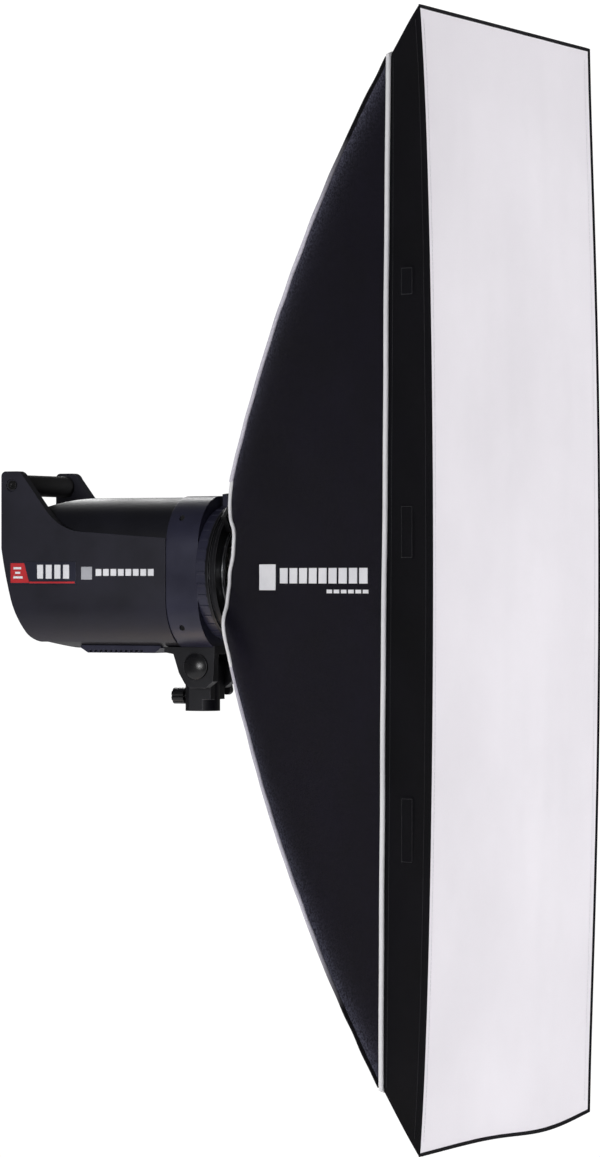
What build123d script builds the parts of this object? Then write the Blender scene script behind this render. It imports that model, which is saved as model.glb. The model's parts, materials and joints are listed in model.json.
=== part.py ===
"""Strip softbox on a studio flash head, with its tilting stand bracket.

Frame: the origin is the centre of the stand socket's mouth, +Z is up and +X is the way the light
points. Every length is in millimetres. The optical axis runs along X at z = AXIS_Z.
"""

from build123d import *
import math
import os

# ---- Driving dimensions ------------------------------------------------------------------------

AXIS_Z = 167.0          # flash head's axis above the stand socket's mouth

# softbox
BOX_HALF_WIDTH = 250.0  # front corners
BOX_HALF_HEIGHT = 650.0
CORNER_X = 403.0        # front corners along the axis
FRONT_DROP = 9.0        # the box's weight bends the rods: its front centre hangs this far below
FRONT_BOW = 15.0        # the long front edges stand this far ahead of the corners
BACK_X = 58.0           # where the rods start
BACK_HALF_WIDTH = 55.0
BACK_HALF_HEIGHT = 70.0
PANEL_BULGE = 30.0      # a rod's middle lies this far behind its chord, along X
SEAM_X = 359.0          # seam between shell panels and lip
CLOTH = 2.0             # shell and lip cloth with its lining
SHEET = 1.2             # diffuser cloth
PANEL_X_START = 66.0    # rear edge of the panels
NECK_RADIUS = 78.0      # round opening that the panels leave for the speed ring
ROD_RADIUS = 3.5
ROD_END_X = 376.0       # shell position where the rods end
ROD_INSET = (6.5, 5.5, 5.0)   # rod centre line from the shell's corner, along X, Y and Z
PIPING_RADIUS = 3.0
INNER_X = 230.0         # inner diffuser
INNER_Z = AXIS_Z - 4.0  # and its centre's height
TAPE_DEPTH, TAPE_THICK = 20.0, 1.6   # loop tape behind the front sheet's edge
TAPE_STOP = 50.0        # the tapes end this far from the corners

# speed ring and flash head front
MOUNT_X = 31.0          # front face of the head's housing
ADAPTER_IN, ADAPTER_OUT = 62.0, 65.8
RING_IN, RING_OUT = 66.0, 84.0
RING_X = (46.0, 59.3)
TUBE_RING = 33.0        # flash tube's ring
LEVER_ANGLE = 95.0      # lock lever, from +Y towards +Z

# flash head housing
BODY_HALF_WIDTH = 72.0
BODY_HALF_HEIGHT = 91.5
BODY_CORNER = 61.0
BODY_WALL = 3.0
COVER = 3.0             # side covers stand this far proud of the barrel
COLLAR_OUT = 1.5        # and the front collar this far
REAR_X = -238.0
COLLAR_X = -12.0        # rear edge of the front collar
PANEL_X = REAR_X + 8.0  # rear control panel's outer face
PANEL_THICK = 3.0
EAR_TOP = 124.0         # handle ears above the axis
EAR_THICK = 12.5        # handle ears and upper edge of the side covers
GRIP_X, GRIP_Z = REAR_X + 15.0, 107.0
KEEL_Z = -98.0          # underside of the bracket base, from the axis
BADGE_X = (REAR_X + 12.2, REAR_X + 103.8)   # plates let into the side covers
BADGE_HALF = 13.8

# places on the rear panel
DIAL_AT = (-34.0, AXIS_Z + 1.0)
BUTTONS_AT = [(y, AXIS_Z + z) for y in (12.0, 36.0) for z in (9.0, -6.0)]
SWITCH_Y, SWITCH_Z = (-14.0, 6.0), (AXIS_Z - 38.0, AXIS_Z - 22.0)
INLET_Y, INLET_Z = (-50.0, -22.0), (AXIS_Z - 41.0, AXIS_Z - 19.5)
FUSE_AT = (20.0, AXIS_Z - 30.0)
SYNC_AT = (40.0, AXIS_Z - 30.0)

# stand bracket
PIVOT_X, PIVOT_Z = 7.0, 54.0
SOCKET_RADIUS = 21.0
SOCKET_BORE = 8.15      # takes a 16 mm stand stud
SOCKET_DEPTH = 34.0
STUD_SCREW_Z = 18.0
TONGUE_HALF, TONGUE_RADIUS = 19.0, 13.0
CHEEK_IN, CHEEK_OUT = 20.0, 32.0
BOLT_RADIUS = 5.0

BIG = 900.0             # longer than anything it cuts
FIT = 0.3               # gap between pieces that may not touch


# ---- Small builders ----------------------------------------------------------------------------

def block(x, y, z):
    """Box from (low, high) pairs."""
    size = [pair[1] - pair[0] for pair in (x, y, z)]
    middle = [(pair[0] + pair[1]) / 2 for pair in (x, y, z)]
    return Pos(*middle) * Box(*size)


def rod_x(radius, x, y=0.0, z=AXIS_Z):
    """Cylinder along X between the two x values."""
    return Pos((x[0] + x[1]) / 2, y, z) * Rot(0, 90, 0) * Cylinder(radius, x[1] - x[0])


def rod_y(radius, y, x, z):
    """Cylinder along Y between the two y values."""
    return Pos(x, (y[0] + y[1]) / 2, z) * Rot(90, 0, 0) * Cylinder(radius, y[1] - y[0])


def rod_z(radius, z, x=0.0, y=0.0):
    """Cylinder along Z between the two z values."""
    return Pos(x, y, (z[0] + z[1]) / 2) * Cylinder(radius, z[1] - z[0])


def tube_x(inner, outer, x):
    """Tube about the optical axis."""
    return rod_x(outer, x) - rod_x(inner, (x[0] - 1, x[1] + 1))


def rod_between(start, end, radius):
    """Cylinder from one point to another."""
    way = Vector(*end) - Vector(*start)
    return extrude(Plane(origin=start, z_dir=way) * Circle(radius), way.length)


def prism_y(outline, y):
    """Solid between two y values whose outline is a list of edges in the plane y[0]."""
    return extrude(make_face(outline), y[1] - y[0], dir=(0, 1, 0))


def polygon_y(points, y):
    """Prism along Y from (x, z) points, with z from the optical axis."""
    corners = [(x, y[0], AXIS_Z + z) for x, z in points]
    return prism_y(Polyline(*corners, close=True).edges(), y)


def together(shapes):
    """Separate solids as one node."""
    return Compound(children=[solid for shape in shapes for solid in shape.solids()])


def four_corners():
    """The signs of Y and Z at the four corners."""
    return [(side, level) for side in (-1, 1) for level in (1, -1)]


# ---- Softbox -----------------------------------------------------------------------------------

def circle_through(a, b, c):
    """Centre and radius of the circle through three (u, v) points."""
    d = 2 * (a[0] * (b[1] - c[1]) + b[0] * (c[1] - a[1]) + c[0] * (a[1] - b[1]))
    squares = [p[0] ** 2 + p[1] ** 2 for p in (a, b, c)]
    u = (squares[0] * (b[1] - c[1]) + squares[1] * (c[1] - a[1]) + squares[2] * (a[1] - b[1])) / d
    v = (squares[0] * (c[0] - b[0]) + squares[1] * (a[0] - c[0]) + squares[2] * (b[0] - a[0])) / d
    return u, v, math.hypot(a[0] - u, a[1] - v)


def wall_arc(back_half, front_half):
    """Circle that a shell wall follows from the ring to the front corners."""
    middle = ((BACK_X + CORNER_X) / 2 - PANEL_BULGE, (back_half + front_half) / 2)
    return circle_through((BACK_X, back_half), middle, (CORNER_X, front_half))


FRONT_Z = AXIS_Z - FRONT_DROP   # height of the front's centre
SIDE_ARC = wall_arc(BACK_HALF_WIDTH, BOX_HALF_WIDTH)
END_ARCS = {sign: wall_arc(BACK_HALF_HEIGHT, BOX_HALF_HEIGHT - sign * FRONT_DROP) for sign in (1, -1)}


def wall_at(arc, x):
    """Distance of a wall from the axis and its slope, at x."""
    centre, level, radius = arc
    rise = math.sqrt(radius**2 - (x - centre) ** 2)
    return level + rise, (centre - x) / rise


def corner_at(x, sign):
    """y and z of the shell's corner at x; sign holds the corner's Y and Z signs."""
    return sign[0] * wall_at(SIDE_ARC, x)[0], AXIS_Z + sign[1] * wall_at(END_ARCS[sign[1]], x)[0]


def front_cylinder(inset):
    """The bowed front surface, as a large cylinder about Y."""
    radius = (BOX_HALF_HEIGHT**2 + FRONT_BOW**2) / (2 * FRONT_BOW)
    centre = CORNER_X + FRONT_BOW - radius
    return Pos(centre, 0, FRONT_Z) * Rot(90, 0, 0) * Cylinder(radius - inset, BIG)


def between_sides(inset, x):
    """The space between the side walls, inset from them, between two x values."""
    half = BOX_HALF_WIDTH - inset
    space = block(x, (-half, half), (AXIS_Z - BIG, AXIS_Z + BIG))
    for sign in (-1, 1):
        centre = Pos(SIDE_ARC[0], sign * SIDE_ARC[1], AXIS_Z)
        space = space & (centre * Cylinder(SIDE_ARC[2] - inset, 2 * BIG))
    return space


def between_ends(inset, x):
    """The space between the top and bottom walls, inset from them, between two x values."""
    half = BOX_HALF_HEIGHT - inset
    space = block(x, (-BIG, BIG), (FRONT_Z - half, FRONT_Z + half))
    for sign, (centre, level, radius) in END_ARCS.items():
        wall = Pos(centre, 0, AXIS_Z + sign * level) * Rot(90, 0, 0)
        space = space & (wall * Cylinder(radius - inset, 2 * BIG))
    return space


def envelope(inset, x):
    """Everything inside the shell's four curved walls, inset from them, between two x values."""
    return between_sides(inset, x) & between_ends(inset, x)


def shell_panels():
    """Four sewn panels from the neck to the seam, left being +Y."""
    x, wider = (PANEL_X_START, SEAM_X), (PANEL_X_START - 1, SEAM_X + 1)
    neck = rod_x(NECK_RADIUS, (0, SEAM_X))
    ends = between_ends(0, x) & between_sides(CLOTH, x)
    ends = ends - between_ends(CLOTH, wider) - neck
    sides = between_sides(0, x) & between_ends(0, x)
    sides = sides - between_sides(CLOTH, wider) - neck
    upper = block(wider, (-BIG, BIG), (AXIS_Z, AXIS_Z + BIG))
    left = block(wider, (0, BIG), (AXIS_Z - BIG, AXIS_Z + BIG))
    return {"shell_top": ends & upper, "shell_bottom": ends - upper,
            "shell_left": sides & left, "shell_right": sides - left}


def front_lip():
    """Cloth band ahead of the seam that carries the front diffuser."""
    x = (SEAM_X, CORNER_X + FRONT_BOW)
    return (envelope(0, x) & front_cylinder(0)) - envelope(CLOTH, (x[0] - 1, x[1] + 1))


def outer_diffuser():
    """White front sheet that lies inside the lip's front edge."""
    x = (SEAM_X, CORNER_X + FRONT_BOW)
    inside = envelope(CLOTH + FIT, x)
    return (inside & front_cylinder(1.0)) - front_cylinder(1.0 + SHEET)


def diffuser_border():
    """Loop tapes round the back of the front sheet, against the lip and clear of its corners."""
    x = (SEAM_X + 2, CORNER_X + FRONT_BOW)
    wider = (x[0] - 1, x[1] + 1)
    band = envelope(CLOTH + FIT, x) & front_cylinder(1.0 + SHEET)
    band = band - envelope(CLOTH + FIT + TAPE_THICK, wider) - front_cylinder(1.0 + SHEET + TAPE_DEPTH)
    short = TAPE_STOP
    high = BOX_HALF_HEIGHT - short
    upright = block(wider, (-BIG, BIG), (FRONT_Z - high, FRONT_Z + high))
    level = block(wider, (-BOX_HALF_WIDTH + short, BOX_HALF_WIDTH - short), (AXIS_Z - BIG, AXIS_Z + BIG))
    return together([band & upright, band & level])


def inner_diffuser():
    """Smaller white sheet across the middle of the box."""
    return block((INNER_X, INNER_X + SHEET), (-150, 150), (INNER_Z - 392, INNER_Z + 392))


def rod_line(x, sign):
    """Centre of a rod at the shell's x; sign holds the corner's Y and Z signs."""
    y, z = corner_at(x, sign)
    along, across, up = ROD_INSET
    return (x + along, y - sign[0] * across, z - sign[1] * up)


def rod_path(sign):
    """Arc of a rod's centre line, from its socket on the ring to a front corner."""
    return ThreePointArc(*[rod_line(x, sign) for x in (BACK_X + 3, 200.0, ROD_END_X)])


def along_rod(sign, end, low, high, radius):
    """Cylinder about a rod's end (0 or 1), between two distances along its tangent there."""
    path = rod_path(sign)
    tangent = path % end
    return rod_between(tuple(path @ end + tangent * low), tuple(path @ end + tangent * high), radius)


def tensioned_rods():
    """Round rods, bent by the cloth's tension."""
    rods = []
    for sign in four_corners():
        path = rod_path(sign)
        rods.append(sweep(Plane(origin=path @ 0, z_dir=path % 0) * Circle(ROD_RADIUS), path=path))
    return together(rods)


def rod_tips():
    """Rubber caps that sit in the corner pockets."""
    return together([along_rod(sign, 1, 0.1, 11, 5.0) for sign in four_corners()])


def rod_sockets():
    """Steel sleeves on foot plates, one for each rod, at the front of the rotating ring."""
    sockets = []
    for sign in four_corners():
        sleeve = along_rod(sign, 0, -1.5, 12, 5.5)
        bore = along_rod(sign, 0, -0.2, 20, ROD_RADIUS + 0.3)
        angle = math.degrees(math.atan2(sign[1] * BACK_HALF_HEIGHT, sign[0] * BACK_HALF_WIDTH))
        foot = block((RING_X[1], RING_X[1] + 5.5), (71.0, 94.0), (-11, 11))
        foot = Pos(0, 0, AXIS_Z) * Rot(angle, 0, 0) * foot
        sockets.append(foot + sleeve - bore)
    return together(sockets)


def corner_piping():
    """Bead sewn into each corner seam of the shell."""
    beads = []
    radius, out = 0.8 * PIPING_RADIUS, 0.85 * PIPING_RADIUS
    for sign in four_corners():
        line = []
        for x in (PANEL_X_START + 5, 200.0, SEAM_X - 6):
            y, z = corner_at(x, sign)
            line.append((x - out, y + sign[0] * out, z + sign[1] * out))
        path = ThreePointArc(*line)
        beads.append(sweep(Plane(origin=path @ 0, z_dir=path % 0) * Circle(radius), path=path))
    return together(beads)


def front_piping():
    """Bead round the seam between the shell and the lip."""

    def clear_of(arc):
        half, slope = wall_at(arc, SEAM_X)
        return half + (PIPING_RADIUS + 0.4) * math.hypot(1, slope)

    y = clear_of(SIDE_ARC)
    top, bottom = AXIS_Z + clear_of(END_ARCS[1]), AXIS_Z - clear_of(END_ARCS[-1])
    middle = Plane(origin=(SEAM_X, 0, (top + bottom) / 2), x_dir=(0, 1, 0), z_dir=(1, 0, 0))
    loop = (middle * RectangleRounded(2 * y, top - bottom, 1.2 * PIPING_RADIUS)).wire()
    section = Plane(origin=loop @ 0, z_dir=loop % 0) * Circle(PIPING_RADIUS)
    return sweep(section, path=loop)


def fastener_patches():
    """Sewn patches on the outside of the lip: three on each long side."""
    patches = []
    middle = (SEAM_X + CORNER_X) / 2 + 1
    half, slope = wall_at(SIDE_ARC, middle)
    for sign in (-1, 1):
        for height, length in ((330, 34), (46, 62), (-292, 76)):
            patch = Rot(0, 0, sign * math.degrees(math.atan(slope))) * Box(20, 1.0, length)
            patches.append(Pos(middle, sign * (half + 0.85), AXIS_Z + height) * patch)
    return together(patches)


def inner_binding():
    """Sewn tape round the inner sheet, with an elastic tie at each corner that reaches for a rod."""
    x = (INNER_X + SHEET, INNER_X + SHEET + 1.5)
    outer = block(x, (-150, 150), (INNER_Z - 392, INNER_Z + 392))
    binding = outer - block((x[0] - 1, x[1] + 1), (-138, 138), (INNER_Z - 380, INNER_Z + 380))
    for sign in four_corners():
        anchor = Vector(INNER_X + SHEET + 0.75, sign[0] * 147, INNER_Z + sign[1] * 388)
        target = Vector(*rod_line(INNER_X - ROD_INSET[0] + SHEET + 0.75, sign))
        way = target - anchor
        end = anchor + way * ((way.length - ROD_RADIUS - 2.5) / way.length)
        tie = rod_between(tuple(anchor), tuple(end), 0.7)
        binding = binding + tie
    return binding


def rotating_ring():
    """Ring that carries the rods and turns on the adapter."""
    ring = tube_x(RING_IN, RING_OUT, RING_X)
    groove = tube_x(RING_OUT - 3, RING_OUT + 1, (RING_X[0] + 4, RING_X[1] - 4))
    boss = rod_y(7.0, (RING_OUT - 4, RING_OUT + 3), (RING_X[0] + RING_X[1]) / 2, AXIS_Z)
    thread = rod_y(2.98, (RING_IN + 1, RING_OUT + 4), (RING_X[0] + RING_X[1]) / 2, AXIS_Z)
    return ring - groove + boss - thread


def brake_screw():
    """Thumb screw in the rotating ring that holds the box at its angle."""
    x = (RING_X[0] + RING_X[1]) / 2
    stem = rod_y(2.9, (RING_IN + 6, RING_OUT + 4), x, AXIS_Z)
    head = rod_y(6.6, (RING_OUT + 4, RING_OUT + 16), x, AXIS_Z)
    for turn in range(10):
        angle = math.radians(36 * turn)
        head = head - rod_y(0.9, (RING_OUT + 3, RING_OUT + 17), x + 6.8 * math.cos(angle),
                            AXIS_Z + 6.8 * math.sin(angle))
    return stem + head


def adapter_ring():
    """Bayonet adapter that locks to the head; the rotating ring turns on it."""
    sleeve = tube_x(ADAPTER_IN, ADAPTER_OUT, (37.2, 62.5))
    flange = tube_x(ADAPTER_IN, 74.0, (39.0, 45.5))
    ring = sleeve + flange
    for turn in range(3):
        lug = block((37.2, 39.2), (62, 73), (-10, 10))
        ring = ring + Pos(0, 0, AXIS_Z) * Rot(90 + 120 * turn, 0, 0) * lug
    return ring - tube_x(ADAPTER_OUT - 1.2, ADAPTER_OUT + 2, (60.4, 61.8))


def retaining_ring():
    """Split ring in the adapter's groove that keeps the rotating ring on."""
    ring = tube_x(ADAPTER_OUT - 1.1, 69.5, (60.5, 61.7))
    return ring - Pos(0, 0, AXIS_Z) * block((60, 62.2), (-3, 3), (-75, -60))


# ---- Flash head --------------------------------------------------------------------------------

def barrel_form(inset, x):
    """Rounded barrel section, inset all round, between two x values."""
    outline = RectangleRounded(2 * (BODY_HALF_WIDTH - inset), 2 * (BODY_HALF_HEIGHT - inset),
                               BODY_CORNER - inset)
    section = Plane(origin=(x[0], 0, AXIS_Z), x_dir=(0, 1, 0), z_dir=(1, 0, 0)) * outline
    return extrude(section, x[1] - x[0])


def side_outline(inset, y):
    """Side view of the rear housing, inset all round, as edges in the plane y."""
    rear, front = REAR_X + 4 + inset, COLLAR_X
    heel = rear + 20
    top, bottom = BODY_HALF_HEIGHT + 5 - inset, -BODY_HALF_HEIGHT - 5 + inset

    def at(x, z):
        return (x, y, AXIS_Z + z)

    curve_top = ThreePointArc(at(-116, top - 5), at(-179, top - 12), at(rear, 58 - inset))
    curve_rear = ThreePointArc(at(rear, 30), at(rear + 8, -24), at(heel, -68))
    return [
        Line(at(front, top), at(-116, top)), Line(at(-116, top), at(-116, top - 5)), curve_top,
        Line(at(rear, 58 - inset), at(rear, 30)), curve_rear,
        ThreePointArc(at(heel, -68), at(heel + 5, -77), at(heel + 14, -82)),
        Line(at(heel + 14, -82), at(heel + 70, bottom)),
        Line(at(heel + 70, bottom), at(front, bottom)), Line(at(front, bottom), at(front, top)),
    ]


def housing():
    """Rear housing: a closed barrel with a window in its back for the control panel."""
    y = (-BIG / 2, BIG / 2)
    outer = barrel_form(0, (REAR_X, COLLAR_X)) & prism_y(side_outline(0, y[0]), y)
    inner = barrel_form(BODY_WALL, (REAR_X + 16, COLLAR_X + 1))
    inner = inner & prism_y(side_outline(BODY_WALL + 8, y[0]), y)
    shell = outer - inner - barrel_form(BODY_WALL, (-105, COLLAR_X + 1))
    pocket = block((REAR_X - 5, PANEL_X + PANEL_THICK), (-57, 57), (AXIS_Z - 45, AXIS_Z + 52))
    window = block((REAR_X - 5, REAR_X + 40), (-53, 53), (AXIS_Z - 41, AXIS_Z + 48))
    vents = block((-140, -62), (-30, 30), (AXIS_Z - 100, AXIS_Z - 80))
    return shell - pocket - window - vents


def side_covers():
    """Right and left covers."""
    return together([side_cover(side) for side in (-1, 1)])


def cover_outline(y):
    """Side view of a cover: the ear, the edge that sweeps down from it, and the lower body."""

    def at(x, z):
        return (x, y, AXIS_Z + z)

    front, back = COLLAR_X - 0.2, REAR_X
    return [
        Line(at(back, 30), at(back, EAR_TOP - 6)),
        ThreePointArc(at(back, EAR_TOP - 6), at(back + 1.8, EAR_TOP - 1.8), at(back + 6, EAR_TOP)),
        Line(at(back + 6, EAR_TOP), at(back + 23, EAR_TOP)),
        ThreePointArc(at(back + 23, EAR_TOP), at(back + 27.4, EAR_TOP - 2.2), at(back + 31, EAR_TOP - 7)),
        Line(at(back + 31, EAR_TOP - 7), at(back + 60, 79)),
        ThreePointArc(at(back + 60, 79), at(back + 80, 60), at(back + 118, 49.5)),
        Line(at(back + 118, 49.5), at(front, 42)),
        Line(at(front, 42), at(front, -84)),
        Line(at(front, -84), at(back + 40, -84)),
        ThreePointArc(at(back + 40, -84), at(back + 31, -80), at(back + 25, -70)),
        ThreePointArc(at(back + 25, -70), at(back + 11.5, -26), at(back, 30)),
    ]


def side_cover(side):
    """Side cover with the ear that holds one end of the handle; side is the sign of Y."""
    outer, inner = BODY_HALF_WIDTH + COVER, BODY_HALF_WIDTH + COVER - EAR_THICK
    y = sorted((side * outer, side * 20.0))
    upper = prism_y(cover_outline(y[0]), y) & block((-BIG, BIG), (-BIG, BIG), (AXIS_Z - 31, BIG))
    lower = prism_y(cover_outline(y[0]), y) & barrel_form(-COVER, (REAR_X - 5, COLLAR_X))
    lower = lower & block((-BIG, BIG), (-BIG, BIG), (AXIS_Z - BIG, AXIS_Z + 31))
    cover = (upper & block((-BIG, BIG), sorted((side * inner, side * outer)), (0, BIG))) + lower
    cover = cover - barrel_form(-0.05, (REAR_X - 6, MOUNT_X + 6))
    recess = rod_y(8.0, sorted((side * (outer - 2.5), side * (outer + 1))), GRIP_X, AXIS_Z + GRIP_Z)
    hole = rod_y(3.2, sorted((side * (inner - 9), side * (outer + 1))), GRIP_X, AXIS_Z + GRIP_Z)
    badge = block((BADGE_X[0] - 0.2, BADGE_X[1] + 0.2), sorted((side * (outer - 0.5), side * (outer + 1))),
                  (AXIS_Z - BADGE_HALF - 0.2, AXIS_Z + BADGE_HALF + 0.2))
    return cover - recess - hole - badge


def side_badges():
    """Thin plates let into the side covers."""
    outer = BODY_HALF_WIDTH + COVER
    z = (AXIS_Z - BADGE_HALF, AXIS_Z + BADGE_HALF)
    return together([block(BADGE_X, sorted((side * (outer - 0.45), side * outer)), z)
                     for side in (-1, 1)])


def handle_grip():
    """Oval grip between the ears."""
    half = BODY_HALF_WIDTH + COVER - EAR_THICK
    end = Plane(origin=(GRIP_X, -half, AXIS_Z + GRIP_Z), x_dir=(1, 0, 0), z_dir=(0, 1, 0))
    grip = extrude(end * Ellipse(11.0, 13.0), 2 * half)
    return grip - rod_y(3.0, (-half - 1, half + 1), GRIP_X, AXIS_Z + GRIP_Z)


def handle_screws():
    """One screw through each ear into the grip."""
    screws = []
    for side in (-1, 1):
        face = BODY_HALF_WIDTH + COVER - 2.5
        head = rod_y(5.5, sorted((side * face, side * (face + 2.2))), GRIP_X, AXIS_Z + GRIP_Z)
        seat = Plane(origin=(GRIP_X, side * (face + 2.3), AXIS_Z + GRIP_Z), z_dir=(0, side, 0))
        head = head - extrude(seat * RegularPolygon(2.5, 6), -1.5)
        stem = rod_y(2.9, sorted((side * (face - 34), side * face)), GRIP_X, AXIS_Z + GRIP_Z)
        screws.append(head + stem)
    return together(screws)


def front_collar():
    """Moulded collar that closes the barrel's front, with four screw recesses."""
    ring = barrel_form(-COLLAR_OUT, (COLLAR_X, MOUNT_X)) - barrel_form(BODY_WALL, (COLLAR_X - 1, MOUNT_X - 4))
    ring = ring - rod_x(58.0, (MOUNT_X - 6, MOUNT_X + 1))
    bottom_step = block((COLLAR_X - 1, 40), (-BIG, BIG), (AXIS_Z - 120, AXIS_Z - BODY_HALF_HEIGHT))
    ring = ring - bottom_step
    for x, y, z in collar_screw_places():
        ring = ring - rod_y(3.4, sorted((y, y * 1.6)), x, z)
    return ring


def collar_screw_places():
    """x, y and z of the seats of the collar's screws."""
    return [(4.0, side * 58.0, AXIS_Z + level * 66.0) for side, level in four_corners()]


def collar_screws():
    """Four screws that hold the collar."""
    return together([rod_y(3.2, sorted((y, y + math.copysign(2.5, y))), x, z)
                     for x, y, z in collar_screw_places()])


def mount_ring():
    """Fixed metal bayonet ring on the head's front face."""
    return tube_x(58.0, 74.5, (MOUNT_X, 37.0))


def lock_collar():
    """Ribbed collar that turns to lock the adapter, with a thumb lever at the top."""
    collar = tube_x(74.7, 80.5, (MOUNT_X + 0.3, 45.2))
    for turn in range(36):
        rib = block((33, 44), (80, 81.4), (-1.5, 1.5))
        collar = collar + Pos(0, 0, AXIS_Z) * Rot(10 * turn, 0, 0) * rib
    lever = polygon_y([(34, 78), (45.2, 78), (45.2, 88), (39, 96), (34, 96)], (-6, 6))
    return collar + Pos(0, 0, AXIS_Z) * Rot(LEVER_ANGLE - 90, 0, 0) * Pos(0, 0, -AXIS_Z) * lever


def light_pan():
    """Bright pan behind the lamps."""
    pan = rod_x(57.5, (MOUNT_X - 5.5, MOUNT_X - 4.2))
    return pan - rod_x(46.5, (MOUNT_X - 7, MOUNT_X - 3))


def tube_legs():
    """y and z of the flash tube's two legs."""
    angles = (math.radians(-120), math.radians(-60))
    return [(TUBE_RING * math.cos(a), AXIS_Z + TUBE_RING * math.sin(a)) for a in angles]


def lamp_base():
    """Ceramic base that carries the flash tube and the modelling lamp."""
    base = rod_x(46.0, (8, 28)) + rod_x(30.0, (2, 8))
    for y, z in tube_legs():
        base = base - rod_x(3.2, (14, 30), y, z)
    return base - rod_x(14.2, (10, 30))


def flash_tube():
    """Ring-shaped glass tube on two legs that plug into the base."""
    section = Plane(origin=(58, 0, TUBE_RING), z_dir=(0, 1, 0)) * Circle(4.2)
    tube = Pos(0, 0, AXIS_Z) * Rot(150, 0, 0) * revolve(section, Axis.X, 300)
    for y, z in tube_legs():
        tube = tube + rod_x(5.4, (51, 65), y, z) + rod_x(3.0, (15, 52), y, z)
    return tube


def modelling_lamp():
    """Screw-cap lamp on the axis."""
    cap = rod_x(13.5, (11, 40))
    neck = rod_x(11.0, (40, 52))
    bulb = rod_x(17.0, (52, 84)) + Pos(84, 0, AXIS_Z) * Sphere(17.0)
    return cap + neck + bulb


def glass_dome():
    """Clear protective dome over the lamps."""
    outer = rod_x(45.8, (28.1, 78)) + Pos(78, 0, AXIS_Z) * Sphere(45.8)
    inner = rod_x(43.6, (20, 78)) + Pos(78, 0, AXIS_Z) * Sphere(43.6)
    return outer - inner - block((0, 28.1), (-60, 60), (AXIS_Z - 60, AXIS_Z + 60))


def control_panel():
    """Rear panel with its cut-outs."""
    panel = block((PANEL_X, PANEL_X + PANEL_THICK), (-56.8, 56.8), (AXIS_Z - 44.8, AXIS_Z + 51.8))
    through = (PANEL_X - 1, PANEL_X + PANEL_THICK + 1)
    panel = panel - block(through, (-33, 33), (AXIS_Z + 23, AXIS_Z + 45))
    panel = panel - rod_x(4.0, through, *DIAL_AT)
    for y, z in BUTTONS_AT:
        panel = panel - block(through, (y - 6.4, y + 6.4), (z - 4.4, z + 4.4))
    panel = panel - block(through, SWITCH_Y, SWITCH_Z) - block(through, INLET_Y, INLET_Z)
    panel = panel - rod_x(6.2, through, *FUSE_AT) - rod_x(3.6, through, *SYNC_AT)
    return panel


def display():
    """Window of the display with its module behind it."""
    return block((PANEL_X + 0.4, PANEL_X + 9), (-32.8, 32.8), (AXIS_Z + 23.2, AXIS_Z + 44.8))


def power_dial():
    """Knurled dial on its shaft."""
    knob = rod_x(14.0, (PANEL_X - 12, PANEL_X - 0.8), *DIAL_AT)
    for turn in range(24):
        angle = math.radians(15 * turn)
        knob = knob - rod_x(0.8, (PANEL_X - 13, PANEL_X), DIAL_AT[0] + 14.2 * math.cos(angle),
                            DIAL_AT[1] + 14.2 * math.sin(angle))
    knob = knob - rod_x(1.4, (PANEL_X - 13, PANEL_X - 11.2), DIAL_AT[0], DIAL_AT[1] + 10)
    return knob + rod_x(3.0, (PANEL_X - 1, PANEL_X + 7), *DIAL_AT)




def push_button(place):
    """Push button with a flange behind the panel."""
    y, z = place
    cap = block((PANEL_X - 2.5, PANEL_X + PANEL_THICK + 0.4), (y - 6.1, y + 6.1), (z - 4.1, z + 4.1))
    behind = PANEL_X + PANEL_THICK
    flange = block((behind + 0.3, behind + 1.3), (y - 7.4, y + 7.4), (z - 5.2, z + 5.2))
    return fillet(cap.faces().sort_by(Axis.X)[0].edges(), 0.8) + flange


def power_switch_frame():
    """Frame of the mains switch."""
    (left, right), (low, high) = SWITCH_Y, SWITCH_Z
    body = block((PANEL_X - 1.2, PANEL_X + 12), (left + 0.1, right - 0.1), (low + 0.1, high - 0.1))
    return body - block((PANEL_X - 2, PANEL_X + 10.5), (left + 2, right - 2), (low + 1.6, high - 1.6))


def power_rocker():
    """Rocker of the mains switch, resting with its top end pressed in."""
    y = (SWITCH_Y[0] + 2.3, SWITCH_Y[1] - 2.3)
    middle = (SWITCH_Z[0] + SWITCH_Z[1]) / 2
    points = [(PANEL_X - 1.0, middle + 5.2), (PANEL_X - 3.8, middle - 5.2), (PANEL_X + 3.0, middle - 5.2),
              (PANEL_X + 5.0, middle), (PANEL_X + 3.5, middle + 5.2)]
    corners = [(x, y[0], z) for x, z in points]
    return extrude(make_face(Polyline(*corners, close=True)), y[1] - y[0], dir=(0, 1, 0))


def mains_inlet():
    """Three-pin mains inlet."""
    y, z = (INLET_Y[0] + 0.1, INLET_Y[1] - 0.1), (INLET_Z[0] + 0.1, INLET_Z[1] - 0.1)
    body = block((PANEL_X - 1.5, PANEL_X + 17), y, z)
    body = body - block((PANEL_X - 3, PANEL_X + 14), (y[0] + 2.2, y[1] - 2.2), (z[0] + 2.6, z[1] - 2.6))
    for y_pin, z_pin in ((-43, -32), (-36, -29), (-29, -32)):
        z = AXIS_Z + z_pin
        pin = block((PANEL_X + 3, PANEL_X + 14.5), (y_pin - 1, y_pin + 1), (z - 2, z + 2))
        body = body + pin
    return body


def fuse_holder():
    """Fuse carrier with a slotted cap."""
    cap = rod_x(7.5, (PANEL_X - 4, PANEL_X - 0.1), *FUSE_AT)
    body = rod_x(6.0, (PANEL_X - 0.2, PANEL_X + 20), *FUSE_AT)
    y, z = FUSE_AT
    slot = block((PANEL_X - 5, PANEL_X - 2.8), (y - 5.5, y + 5.5), (z - 0.7, z + 0.7))
    return cap + body - slot


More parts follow.
